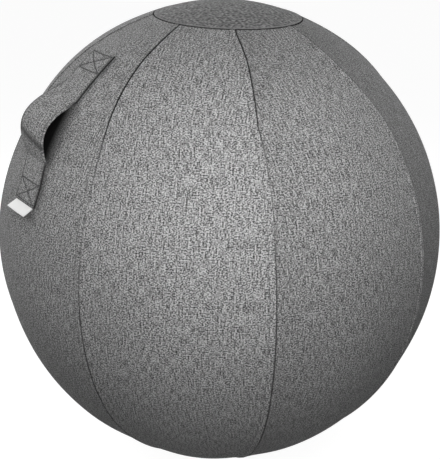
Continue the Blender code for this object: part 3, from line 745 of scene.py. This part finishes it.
def round_lift(panel, station, share):
    """Lift that draws the cover round; share runs from -1 to 1 across the panel."""
    mid_out, _, _, _ = ring(station)
    rise = SEAM_RADIUS * np.cos(SEAM_ANGLE * (1 - 2 * station)) - SEAM_OFFSET - mid_out
    holds = (zip_opening(panel, high_side, station, HOLD_FADE) for high_side in (True, False))
    hold = np.where(share > 0, *holds)
    square = np.clip(share, -1, 1) ** 2
    seam = np.where(share > 0, panel, panel - 1) % PANEL_COUNT
    deeper = LOW_SINK_SHARE * smooth_step((station - LOW_SINK_START) / LOW_SINK_REACH)
    sink = SINK_SHARE + deeper * np.isin(seam, LOW_SINK_SEAMS)
    lift = rise * (SWELL_SHARE * (1 - square) - sink * square * (1 - hold))
    side = share * half_width(station)
    if panel == STRAP_PANEL:
        label_way = np.hypot(side - strap_line(STRAP_BOTTOM), station * PANEL_LENGTH - STRAP_BOTTOM)
        lift = lift * (1 - bell(label_way, LABEL_HOLD))
    way = unit(panel_points(panel, station, side) - MIDDLE)
    apart = np.arccos(np.clip(way @ unit(np.array(FULL_WAY)), -1, 1))
    return lift + FULL_HEIGHT * bell(apart, FULL_WIDTH)


def panel_lift(panel, station, side):
    """Height of the sewn cloth above the plain surface of its panel."""
    half = half_width(station)
    high = half - side - edge_gap(panel, True, station)
    low = half + side - edge_gap(panel, False, station)
    down = station * PANEL_LENGTH
    end = np.minimum(down, PANEL_LENGTH - down)
    lap = np.clip(high / FELL_WIDTH, 0, 1)
    lift = LAP_RISE * (1 - np.abs(2 * lap - 1) ** 3)
    lift += stitch_dent(high - FELL_WIDTH)
    lift += zip_opening(panel, False, station) * stitch_dent(low - ZIP_STITCH_INSET)
    ridges = ridge_lift(side / half) * (1 - zip_opening(panel, True, station))
    ridges += ridge_lift(-side / half) * (1 - zip_opening(panel, False, station))
    lift += ridges * smooth_step(end / RIDGE_FADE)
    lift += round_lift(panel, station, side / half)
    lift += seam_drop(panel, station, side)
    drawn = bell(high - FELL_WIDTH, PUCKER_REACH) * smooth_step(high / FELL_WIDTH)
    drawn += bell(low - PUCKER_REACH, PUCKER_REACH) * smooth_step((low - PUCKER_EDGE) / PUCKER_REACH)
    lift += PUCKER * waver(2 * math.pi * down / PUCKER_LENGTH + panel) * drawn
    waves = SLACK * waver(2 * math.pi * (down / SLACK_DOWN + 0.3 * panel))
    waves *= np.cos(2 * math.pi * side / SLACK_ACROSS)
    inside = smooth_step(np.minimum(high, low) / SLACK_EDGE) * smooth_step(end / SLACK_EDGE)
    return lift + waves * inside


def sewn_points(panel, station, side):
    """Points on the outside of the sewn cover."""
    return settle(panel_points(panel, station, side, panel_lift(panel, station, side)))


def panel_stations(panel):
    """Stations of a panel's rows, close together at its ends and at the ends of the zip."""
    stations = list(np.linspace(0, 1, ROWS + 1))
    for near in (-UNDER_REACH, *END_STEPS):
        stations += [(near - CAP_TRIM) / PANEL_LENGTH, 1 - near / PANEL_LENGTH]
    if panel in (ZIP_PANEL, ZIP_NEXT):
        for end in (seam_station(SLOT_HIGH), seam_station(SLOT_LOW)):
            stations += list(end + np.linspace(-1.2, 1.2, 9) * SLOT_END / PANEL_LENGTH)
    return np.unique(np.round(stations, 7))


# Distances of the rows and columns near a panel's edges, written in millimetres
END_STEPS = np.array((0.4, 0.45, 0.55, 0.8, 1.2, 1.7, 2.2, 3.2)) / 1000
EDGE_STEPS = (0, 0.1, 0.3, 0.6, 1.0, 1.6)
LOW_STEPS = np.array((*EDGE_STEPS, 2.4, 2.9, 2.95, 3.05, 3.3, 3.7, 4.2, 4.7, 5.4, 6.8, 9.0)) / 1000
HIGH_STEPS = np.array((*EDGE_STEPS, 2.6, 3.8, 5.0, 6.2, 7.1, 7.6, 8.0, 8.3, 8.6, 9.0, 9.8, 12)) / 1000


def strap_line(distance):
    """Side of a straight line down the middle of the strap's seat, slightly aslant on the panel."""
    return STRAP_SLANT * ((distance - STRAP_TOP) / (STRAP_BOTTOM - STRAP_TOP) - 0.5) - STRAP_SHIFT


def strap_side(distance):
    """Side of the strap's centre line."""
    return strap_line(distance) + sum(size * bell(distance - place, length) for size, place, length in SWAYS)


def in_loop(distance):
    """1 along the strap's arch and 0 where the strap lies on the ball."""
    start = smooth_step((distance - ARCH_STARTS[1]) / LOOP_FADES[0])
    return start * smooth_step((ARCH_ENDS[1] + LOOP_BELOW - distance) / LOOP_FADES[1])


def loop_shade(station, side):
    """How dark the painted shade on the cloth inside the strap's loop is, from 0 to 1."""
    distance = station * PANEL_LENGTH
    inward = STRAP_WIDTH / 2 - np.abs(side - strap_side(distance))
    return smooth_step((inward + LOOP_BESIDE) / LOOP_SOFT) * in_loop(distance)


def side_cloth(panel):
    station = panel_stations(panel)[:, None]
    half = half_width(station)
    low = -half + edge_gap(panel, False, station)
    high = half - edge_gap(panel, True, station)
    inner = np.linspace(0, 1, INNER_COLUMNS + 2)[None, 1:-1]
    inner = low + LOW_STEPS[-1] + (high - HIGH_STEPS[-1] - low - LOW_STEPS[-1]) * inner
    side = np.concatenate((low + LOW_STEPS[None], inner, high - HIGH_STEPS[None, ::-1]), axis=1)
    station = np.broadcast_to(station, side.shape)
    # Each panel is cut from another place of the cloth.
    uv = np.stack((side + 0.37 * panel, station * PANEL_LENGTH + 0.91 * panel), axis=-1)
    points = sewn_points(panel, station, side)
    obj = make_piece(f"cover_cloth_{panel + 1}", points, grid_faces(*side.shape), uv)
    # Painted shade in the seams, growing with how deep the cloth drops, and inside the strap's loop.
    depth = -seam_drop(panel, station, side) / SHADE_DEPTH
    if panel == STRAP_PANEL:
        depth = np.maximum(depth, loop_shade(station, side))
    mark_painted_shade(obj, depth)
    # Painted light and shade: each panel is lighter or darker across its width.
    start, end = PANEL_PAINTED_LIGHT[panel]
    tone = start + (end - start) * np.clip(0.5 + side / half / 2, 0, 1)
    # Painted shade beside the cap.
    tone = tone - TOP_PAINTED_SHADE * bell(station * PANEL_LENGTH, TOP_SHADE_REACH)
    mark_points(obj, PAINTED_LIGHT_MARK, tone - 1)
    thicken(obj, PLY)
    finish_piece(obj, COVER_CLOTH, "cover_cloth", f"side_panel_{panel + 1}")


def seam_stitches(panel):
    """Row of stitches that holds the lapped seam down, and along the zip a second row on its other side."""
    station = np.linspace(0.004 - CAP_TRIM / PANEL_LENGTH, 0.995, 1200)
    rows = [(station, half_width(station) - edge_gap(panel, True, station) - FELL_WIDTH)]
    if panel == ZIP_NEXT:
        station = np.linspace(seam_station(SLOT_HIGH), seam_station(SLOT_LOW), 900)
        rows.append((station, -half_width(station) + edge_gap(panel, False, station) + ZIP_STITCH_INSET))
    paths = [(sewn_points(panel, *row), panel_frame(panel, *row)[3]) for row in rows]
    stitch_row(f"seam_stitches_{panel + 1}", paths, THREAD, "cover_cloth")


for index in range(PANEL_COUNT):
    side_cloth(index)
    seam_stitches(index)


# End panels


CAP_ROLL = 0.0018
CAP_TUCK = 0.0024
CAP_SWELL = 0.0008  # the cap stands a little proud beside its seam
CAP_SWELL_PLACE = 0.003
CAP_SWELL_WIDTH = 0.010
CAP_SHADE = (0.25, 0.45)  # shares of the edge's drop where the groove's painted shade starts and is full
CAP_HIGHLIGHT = 0.75  # a painted highlight makes the folded edge paler
CAP_HIGHLIGHT_PLACE = 0.0014
CAP_HIGHLIGHT_WIDTH = 0.0011
RIM_STEPS = np.array((0, 0.1, 0.25, 0.45, 0.75, 1.1, 1.6, 2.2, 3.4, 5.0, 7.5, 10)) / 1000


def round_cloth(name, node, up, foot_radius, trim, tuck, swell, rows):
    """Round end panel, a dome that is flat inside the foot's radius; up is 1 at the top and -1 at the base.

    Its edge is cut back by the trim and turned in by the tuck, and the cloth swells beside it.
    """
    foot = math.asin(foot_radius / DOME_RADIUS)
    rim = foot_radius + DOME_RADIUS * (DOME_SPAN - foot) - trim - SEAM_GAP / 2
    reach = np.concatenate((np.linspace(0.003, rim - 0.013, rows), rim - RIM_STEPS[::-1]))
    angle = np.maximum(foot + (reach - foot_radius) / DOME_RADIUS, 0)
    slopes = np.stack((np.sin(angle), up * np.cos(angle)), axis=-1)
    profile = slopes * DOME_RADIUS + np.array((0, EQUATOR_HEIGHT + up * DOME_RISE))
    flat = reach <= foot_radius
    slopes[flat] = 0, up
    profile[flat] = np.stack((reach, np.zeros_like(reach)), axis=-1)[flat]
    inward = rim - reach
    lifts = fold_drop(inward, CAP_ROLL, tuck) + swell * bell(inward - CAP_SWELL_PLACE, CAP_SWELL_WIDTH)
    radius, height = (profile + lifts[:, None] * slopes).T
    turn = np.arange(ROUND_STEPS) * 2 * math.pi / ROUND_STEPS
    ways = np.stack((np.cos(turn), np.sin(turn)), axis=-1)
    spread = radius[:, None, None] * ways[None]
    points = np.concatenate((spread, np.broadcast_to(height[:, None, None], (*spread.shape[:2], 1))), axis=-1)
    faces = grid_faces(len(radius), ROUND_STEPS, closed=True)
    faces.append(list(range(ROUND_STEPS)))
    if up > 0:
        points = settle(points)
    else:
        faces = [face[::-1] for face in faces]
    obj = make_piece(name, points, faces, reach[:, None, None] * ways[None])
    # A painted highlight along the folded edge.
    pale_edge = CAP_HIGHLIGHT * bell(inward - CAP_HIGHLIGHT_PLACE, CAP_HIGHLIGHT_WIDTH)
    mark_points(obj, HIGHLIGHT_MARK, np.repeat(pale_edge, ROUND_STEPS))
    # Painted shade in the groove below the folded edge.
    depth = -fold_drop(inward, CAP_ROLL, 1)
    mark_painted_shade(obj, np.repeat((depth - CAP_SHADE[0]) / (CAP_SHADE[1] - CAP_SHADE[0]), ROUND_STEPS))
    thicken(obj, PLY)
    finish_piece(obj, END_CLOTH_SHADED, "cover_cloth", node)


round_cloth("cover_cloth_top", "top_panel", 1, 0.0, CAP_TRIM, CAP_TUCK, CAP_SWELL, 28)
round_cloth("cover_cloth_base", "base_panel", -1, FOOT_RADIUS, 0.0, TUCK, 0.0, 40)


# Carrying strap


STRAP_EDGE = 0.0015  # rounding of the folded edges
STRAP_PILLOW = 0.0003  # how far the doubled cloth swells between its stitches
PILLOW_WIDTH = 0.012
EDGE_STITCH_INSET = 0.0030
BOX_TOP = (0.0775, 0.1065)
BOX_BOTTOM = (0.2670, 0.2940)
BOX_DENT = 1.6  # of the dent along other stitches
STRAP_PITCH = 0.0030
BOX_THREAD = 0.00065
# The edge of the strap stands off the ball below its arch.
EDGE_LIFT = 0.0022
LIFT_PLACE = 0.262
LIFT_LENGTH = 0.032
# Darkness of the painted shade along the stitched boxes and edge stitches, at the lower end, rims and crease,
# from 0 to 1
UPPER_SHADE = 0.32
LOWER_SHADE = 0.06
EDGE_SHADE = 0.10
END_SHADE = 0.95
RIM_SHADES = (0.38, 0.95)  # at the far and near edge
CREASE_SHADE = 0.65
SHADE_WIDTH = 0.0010
RIM_SHADE_WIDTH = 0.0028
CREASE_WIDTH = 0.0036
CREASE_ENDS = (0.210, 0.222)  # places at the far and near edge
STRAP_COLUMNS = 64
STRAP_ROWS = 250
CREASE = 0.0005  # rounding of the fold where the arch comes down


def arch_height(distance, share):
    """Height of the strap's arch; share runs from -1 to 1 across the strap."""
    near = (share + 1) / 2
    pairs = ARCH_STARTS, ARCH_ENDS, ARCH_HEIGHTS, ARCH_LEANS
    start, end, peak, lean = (pair[0] + (pair[1] - pair[0]) * near for pair in pairs)
    run = np.clip((distance - start) / (end - start), 0, 1)
    return peak * np.clip(np.sin(math.pi * run**lean), 0, 1) ** ARCH_ROUND


def strap_middle(distance, share):
    """Points halfway through the strap."""
    side = share * STRAP_WIDTH / 2 + strap_side(distance)
    arch = sum(arch_height(distance + shift, share) for shift in (-CREASE, 0, CREASE)) / 3
    arch = arch + EDGE_LIFT * bell(distance - LIFT_PLACE, LIFT_LENGTH) * smooth_step(share)
    station = distance / PANEL_LENGTH
    lift = round_lift(STRAP_PANEL, station, side / half_width(station))
    return panel_points(STRAP_PANEL, station, side, lift + CLEARANCE + STRAP_THICKNESS / 2 + arch)


def strap_normals(distance, share):
    step = 0.0010
    down = strap_middle(distance + step, share) - strap_middle(distance - step, share)
    shift = 2 * step / STRAP_WIDTH
    across = strap_middle(distance, share + shift) - strap_middle(distance, share - shift)
    return unit(np.cross(across, -down))


def box_lines(ends):
    """Ends and diagonals of a stitched box between the edge stitches, as pairs of (distance, offset)."""
    top, bottom = ends
    edge = STRAP_WIDTH / 2 - EDGE_STITCH_INSET
    corners = ((top, -edge), (top, edge), (bottom, edge), (bottom, -edge))
    return [(corners[start], corners[end]) for start, end in ((0, 1), (2, 3), (0, 2), (1, 3))]


def line_distance(distance, offset, line):
    """Distance of places on the strap from a stitched line."""
    start, end = np.array(line[0]), np.array(line[1])
    along = end - start
    place = np.stack((distance, offset), axis=-1) - start
    share = np.clip((place @ along) / (along @ along), 0, 1)
    return np.linalg.norm(place - share[..., None] * along, axis=-1)


def strap_half(distance, offset):
    """Half the thickness of the strap, and the swelling and dents on its outer face."""
    edge = STRAP_WIDTH / 2 - np.abs(offset)
    round_end = quarter(np.minimum(distance - STRAP_TOP, STRAP_BOTTOM - distance) / STRAP_EDGE)
    half = STRAP_THICKNESS / 2 * quarter(edge / STRAP_EDGE) * round_end
    dents = stitch_dent(edge - EDGE_STITCH_INSET)
    for line in box_lines(BOX_TOP) + box_lines(BOX_BOTTOM):
        dents = np.minimum(dents, BOX_DENT * stitch_dent(line_distance(distance, offset, line)))
    return half, (STRAP_PILLOW * smooth_step(edge / PILLOW_WIDTH) + dents) * round_end


def strap_shade(distance, offset):
    """How dark the painted shade on the strap's cloth is along its stitches and rims, in its crease and at its
    lower end.
    """
    near = offset / STRAP_WIDTH + 0.5
    crease = distance - CREASE_ENDS[0] - (CREASE_ENDS[1] - CREASE_ENDS[0]) * near
    edge = STRAP_WIDTH / 2 - np.abs(offset)
    rim = (1 - in_loop(distance)) * (RIM_SHADES[0] + (RIM_SHADES[1] - RIM_SHADES[0]) * near)
    shades = [
        CREASE_SHADE * bell(crease, CREASE_WIDTH),
        EDGE_SHADE * bell(edge - EDGE_STITCH_INSET, SHADE_WIDTH),
        END_SHADE * bell(STRAP_BOTTOM - distance, SHADE_WIDTH),
        rim * (1 - smooth_step(edge / RIM_SHADE_WIDTH)),
    ]
    for dark, box in ((UPPER_SHADE, BOX_TOP), (LOWER_SHADE, BOX_BOTTOM)):
        shades += [dark * bell(line_distance(distance, offset, line), SHADE_WIDTH) for line in box_lines(box)]
    return np.maximum.reduce(shades)


def strap_cloth():
    ends = np.array((0, 0.1, 0.3, 0.6, 1.0, 1.5)) / 1000
    inner = np.linspace(STRAP_TOP + 0.0024, STRAP_BOTTOM - 0.0024, STRAP_ROWS)
    distance = np.concatenate((STRAP_TOP + ends, inner, STRAP_BOTTOM - ends[::-1]))[:, None]
    # Columns crowd together at the rounded edges.
    even = np.linspace(-1, 1, STRAP_COLUMNS + 1)
    share = 0.82 * even + 0.18 * np.sin(math.pi / 2 * even)
    distance, share = np.broadcast_arrays(distance, share[None])
    offset = share * STRAP_WIDTH / 2
    middle, normal = strap_middle(distance, share), strap_normals(distance, share)
    half, detail = strap_half(distance, offset)
    outer = middle + normal * (half + detail)[..., None]
    inner_face = middle - normal * half[..., None]
    points = np.concatenate((outer, inner_face[:, -2:0:-1]), axis=1)
    across = np.concatenate((offset, (STRAP_WIDTH - offset)[:, -2:0:-1]), axis=1)
    down = np.broadcast_to(distance[:, :1], across.shape)
    faces = grid_faces(*across.shape, closed=True)
    obj = make_piece("strap_cloth", points, faces, np.stack((across, down), axis=-1))
    # Painted shade on the outer face, none on the inner face.
    strap_painted_shade = strap_shade(distance, offset)
    mark_painted_shade(obj, np.concatenate((strap_painted_shade, np.zeros_like(strap_painted_shade)[:, 2:]), axis=1))
    face_outward(obj, 2e-6)
    finish_piece(obj, STRAP_CLOTH, "strap_cloth", "carry_strap")
    run = strap_middle(distance[:, 0], 0)


def strap_path(line):
    """Points and normals on the strap's outer face along a stitched line."""
    share = np.linspace(0, 1, max(12, int(np.linalg.norm(np.subtract(*line)) / 0.0008)))
    distance, offset = (start + (end - start) * share for start, end in zip(*line))
    across = offset / (STRAP_WIDTH / 2)
    normal = strap_normals(distance, across)
    half, detail = strap_half(distance, offset)
    return strap_middle(distance, across) + normal * (half + detail)[:, None], normal


def strap_stitches():
    edge = STRAP_WIDTH / 2 - EDGE_STITCH_INSET
    ends = STRAP_TOP + EDGE_STITCH_INSET, STRAP_BOTTOM - EDGE_STITCH_INSET
    edges = [strap_path(((ends[0], side), (ends[1], side))) for side in (-edge, edge)]
    stitch_row("strap_edge_stitches", edges, STRAP_THREAD, "strap_cloth", pitch=STRAP_PITCH)
    for name, ends in (("strap_box_upper", BOX_TOP), ("strap_box_lower", BOX_BOTTOM)):
        paths = [strap_path(line) for line in box_lines(ends)]
        stitch_row(name, paths, STRAP_THREAD, "strap_cloth", pitch=STRAP_PITCH, radius=BOX_THREAD)


strap_cloth()
strap_stitches()


# Label


LABEL_SHIFT = 0.0015
LABEL_CURL = 0.0012  # how far the ribbon's middle bows
LABEL_STEPS = 40


def label_ribbon():
    """Ribbon folded on itself, whose two ends are caught under the strap's lower end."""
    station = (STRAP_BOTTOM + 2 * CLEARANCE + LABEL_PLY) / PANEL_LENGTH
    side = strap_line(STRAP_BOTTOM) + (STRAP_WIDTH - LABEL_WIDTH) / 2 - LABEL_INSET + LABEL_SHIFT
    root, down, across, normal = panel_frame(STRAP_PANEL, station, side)
    along = unit(down * math.cos(LABEL_TILT) + normal * math.sin(LABEL_TILT))
    face = np.cross(across, along)
    outer = 1.5 * LABEL_PLY
    inner = outer - LABEL_PLY
    fold = LABEL_LENGTH - outer
    run = np.linspace(0, fold, 16)
    turn = np.linspace(-math.pi / 2, math.pi / 2, 11)[1:-1]
    loop = []
    for radius, turns, way in ((outer, turn, -1), (inner, turn[::-1], 1)):
        loop += [(u, way * radius) for u in run]
        loop += [(fold + radius * math.cos(a), radius * math.sin(a)) for a in turns]
        loop += [(u, -way * radius) for u in run[::-1]]
    loop = np.array(loop)
    width = np.linspace(-0.5, 0.5, LABEL_STEPS + 1)
    u, v = loop[None, :, 0], loop[None, :, 1]
    free = np.clip(u / LABEL_LENGTH, 0, 1) ** 2
    bow = LABEL_CURL * free * (np.cos(math.pi * width) - 0.5 + 0.6 * width)[:, None]
    lift = float(round_lift(STRAP_PANEL, np.float64(station), side / half_width(station)))
    start = root + normal * (lift + CLEARANCE + 2 * outer)
    points = start + u[..., None] * along + (v + bow)[..., None] * face
    points = points + (width * LABEL_WIDTH)[:, None, None] * across
    rows, columns = points.shape[:2]
    faces = grid_faces(rows, columns, closed=True)
    # The cut sides show both plies.
    count = columns // 2
    for row, turned in ((0, False), (rows - 1, True)):
        for k in range(count - 1):
            quad = [row * columns + place for place in (k, k + 1, columns - 2 - k, columns - 1 - k)]
            faces.append(quad[::-1] if turned else quad)
    length = run_lengths(loop)
    uv = np.stack(np.broadcast_arrays((width * LABEL_WIDTH)[:, None], length[None]), axis=-1)
    obj = make_piece("label_ribbon", points, faces, uv, body="label")
    face_outward(obj)
    obj.data.set_sharp_from_angle(angle=math.radians(50))
    finish_piece(obj, satin_ribbon(), "label_ribbon", "sewn_label")


label_ribbon()


# Zip


TEETH_PLASTIC = plastic("zip_teeth_plastic", (0.022, 0.022, 0.023), (0.045, 0.045, 0.047), 0.42, 1500.0)
TAPE_ROWS = 140
TOOTH_BEVEL = 0.00032


def zip_tape(name, node, panel, hand, material):
    """Woven tape under a panel's edge; hand is 1 where the panel's high side is at the zip."""
    station = np.linspace(seam_station(SLOT_HIGH), seam_station(SLOT_LOW), TAPE_ROWS)[:, None]
    edge = CHAIN_HALF + CLEARANCE / 3
    inset = np.linspace(edge, TAPE_WIDTH, 7)[None]
    side = hand * (half_width(station) - inset)
    if hand > 0:
        side = side[:, ::-1]
    station = np.broadcast_to(station, side.shape)
    points = panel_points(panel, station, side, np.full_like(side, TAPE_LEVEL))
    uv = np.stack((side, station * PANEL_LENGTH), axis=-1)
    obj = make_piece(name, points, grid_faces(*side.shape), uv)
    thicken(obj, TAPE_THICKNESS)
    finish_piece(obj, material, "zip_tape", node)


def zip_chain(name, node, hand, shift):
    """Moulded teeth on a corded edge."""
    bm = bmesh.new()
    outer = -hand * CHAIN_HALF
    tip = hand * TOOTH_REACH
    for tooth in range(TOOTH_COUNT):
        start = CHAIN_START + (tooth + shift) * ZIP_PITCH + TOOTH_GAP / 2
        size = Vector((ZIP_PITCH / 2 - TOOTH_GAP, abs(tip - outer), CHAIN_HEIGHT))
        made = bmesh.ops.create_cube(bm, size=1.0)["verts"]
        bmesh.ops.scale(bm, vec=size, verts=made)
        center = Vector((start + size.x / 2, (tip + outer) / 2, CHAIN_FOOT + CHAIN_HEIGHT / 2))
        bmesh.ops.translate(bm, vec=center, verts=made)
    edges = list(bm.edges)
    bmesh.ops.bevel(
        bm, geom=edges, offset=TOOTH_BEVEL, segments=2, profile=0.5, affect="EDGES", clamp_overlap=True
    )
    places = np.array([vert.co for vert in bm.verts])
    faces = [[vert.index for vert in face.verts] for face in bm.faces]
    bm.free()
    points = zip_points(places[:, 0], places[:, 1], places[:, 2])
    # The cord that the teeth are moulded on
    length = np.linspace(CHAIN_START, CHAIN_END, 300)[:, None]
    around = np.linspace(0, 2 * math.pi, 10, endpoint=False)[None]
    middle = CHAIN_FOOT + CHAIN_HEIGHT / 2
    side = outer + hand * BEAD_WIDTH / 2 * (1 + np.cos(around) * 0.96)
    cord = zip_points(length, side, middle + CHAIN_HEIGHT * 0.36 * np.sin(around))
    cord_faces = grid_faces(*cord.shape[:2], closed=True, first=len(points))
    last = len(points) + cord.shape[1] * (cord.shape[0] - 1)
    ends = [[len(points) + k for k in range(10)], [last + k for k in reversed(range(10))]]
    obj = make_piece(name, np.concatenate((points, cord.reshape(-1, 3))), faces + cord_faces + ends)
    face_outward(obj)
    obj.data.set_sharp_from_angle(angle=math.radians(60))
    finish_piece(obj, TEETH_PLASTIC, "zip_plastic", node)
    anchor = zip_points(0.0, outer, 0.0)
    axis = zip_points(0.0, 1.0, 0.0) - zip_points(0.0, 0.0, 0.0)
    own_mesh(obj)


def dress_node(name, material, slot, bevel=None):
    """Give a CAD node its material, and a rounding of its edges."""
    obj = frame["nodes"][name]
    finish_piece(obj, material, slot)
    if bevel:
        modifier = obj.modifiers.new("rounding", "BEVEL")
        modifier.width = bevel
        modifier.segments = 2
        modifier.limit_method = "ANGLE"
        modifier.angle_limit = math.radians(40)


tape_cloth = zip_ribbon()
zip_tape("zip_ribbon_left", "zip_tape_left", ZIP_PANEL, 1, tape_cloth)
zip_tape("zip_ribbon_right", "zip_tape_right", ZIP_NEXT, -1, tape_cloth)
zip_chain("zip_chain_left", "zip_teeth_left", 1, 0.0)
zip_chain("zip_chain_right", "zip_teeth_right", -1, 0.5)
for stop in ("zip_end_stop", "zip_top_stop_left", "zip_top_stop_right"):
    dress_node(stop, TEETH_PLASTIC, "zip_plastic", 0.0003)
zinc = coated_zinc()
dress_node("zip_slider", zinc, "zip_metal", 0.00018)
dress_node("zip_pull", zinc, "zip_metal", 0.00025)


# Bladder and valve

vinyl = plastic("bladder_vinyl", (0.24, 0.25, 0.26), (0.34, 0.35, 0.36), 0.44, 700.0, 14.0, (0.00008, 0.3))
dress_node("bladder", vinyl, "bladder_skin")
plug_plastic = plastic("plug_plastic", (0.70, 0.70, 0.69), (0.80, 0.80, 0.79), 0.4, 900.0)
dress_node("valve_plug", plug_plastic, "plug_plastic", 0.0002)


# Camera, light and floor


CAMERA_AZIMUTH = -34.60
CAMERA_ELEVATION = 20.57
CAMERA_DISTANCE = 1.4665
FRAME_HEIGHT = 459  # pixels, the long side of the picture
FOCAL_PIXELS = 983.6
CAMERA_RISE = 2.16  # pixels
CAMERA_SHIFT = -0.09
SENSOR = 36.0


def direction(azimuth, elevation):
    """Unit vector to a place round the object, by degrees as the views count them."""
    a, e = math.radians(azimuth), math.radians(elevation)
    return Vector((math.sin(a) * math.cos(e), -math.cos(a) * math.cos(e), math.sin(e)))


CENTER = Vector(MIDDLE)


def camera():
    back = direction(CAMERA_AZIMUTH, CAMERA_ELEVATION)
    right = (-back).cross(Vector((0, 0, 1))).normalized()
    up = right.cross(-back)
    pixel = CAMERA_DISTANCE / FOCAL_PIXELS
    data = bpy.data.cameras.new("camera")
    data.sensor_width = SENSOR
    data.lens = FOCAL_PIXELS * SENSOR / FRAME_HEIGHT
    obj = add_object("camera", data)
    obj.location = CENTER + back * CAMERA_DISTANCE + up * CAMERA_RISE * pixel + right * CAMERA_SHIFT * pixel
    obj.rotation_euler = (-back).to_track_quat("-Z", "Y").to_euler()
    bpy.context.scene.camera = obj


def lamp(name, azimuth, elevation, distance, size, power):
    """Round soft lamp that faces the middle of the object."""
    data = bpy.data.lights.new(name, "AREA")
    data.shape = "DISK"
    data.size = size
    data.energy = power
    obj = add_object(name, data)
    way = direction(azimuth, elevation)
    obj.location = CENTER + way * distance
    obj.rotation_euler = (-way).to_track_quat("-Z", "Y").to_euler()


WORLD_LIGHT = 0.03
FLOOR_TONE = (0.20, 0.20, 0.20)
FLOOR_GLOW = 0.96
FLOOR_LEVEL = -0.0003
FLOOR_RADIUS = 12.0


def world():
    look = Look("studio", world=True)
    background = look.tree.nodes["Background"]
    look.put((1, 1, 1, 1), background.inputs["Color"])
    look.put(look.mix(look.seen(), WORLD_LIGHT, 1.0), background.inputs["Strength"])
    bpy.context.scene.world = look.holder


def floor():
    """Pale floor that shows white, with the object's shadow on it."""
    bm = bmesh.new()
    bmesh.ops.create_circle(bm, cap_ends=True, segments=96, radius=FLOOR_RADIUS)
    mesh = bpy.data.meshes.new("floor")
    bm.to_mesh(mesh)
    bm.free()
    obj = add_object("floor", mesh)
    obj.location.z = FLOOR_LEVEL
    look = Look("floor")
    nodes = look.tree.nodes
    nodes.remove(nodes["Principled BSDF"])
    plain = look.join("ShaderNodeBsdfDiffuse", (*FLOOR_TONE, 1))
    glow = look.join("ShaderNodeEmission", (1, 1, 1, 1), FLOOR_GLOW)
    lit = look.join("ShaderNodeAddShader", plain, glow)
    both = look.join("ShaderNodeMixShader", look.seen(), plain, lit)
    look.put(both, nodes["Material Output"].inputs["Surface"])
    mesh.materials.append(look.holder)


camera()
world()
floor()
lamp("key_lamp", -32, 28, distance=0.95, size=0.5, power=5.7)
lamp("left_lamp", -134, 33, distance=1.4, size=1.1, power=8.9)
lamp("right_lamp", 74, 46, distance=1.2, size=0.7, power=4.5)
lamp("rear_lamp", 160, 30, distance=1.4, size=0.8, power=5.0)
bpy.context.scene.view_settings.view_transform = "Standard"
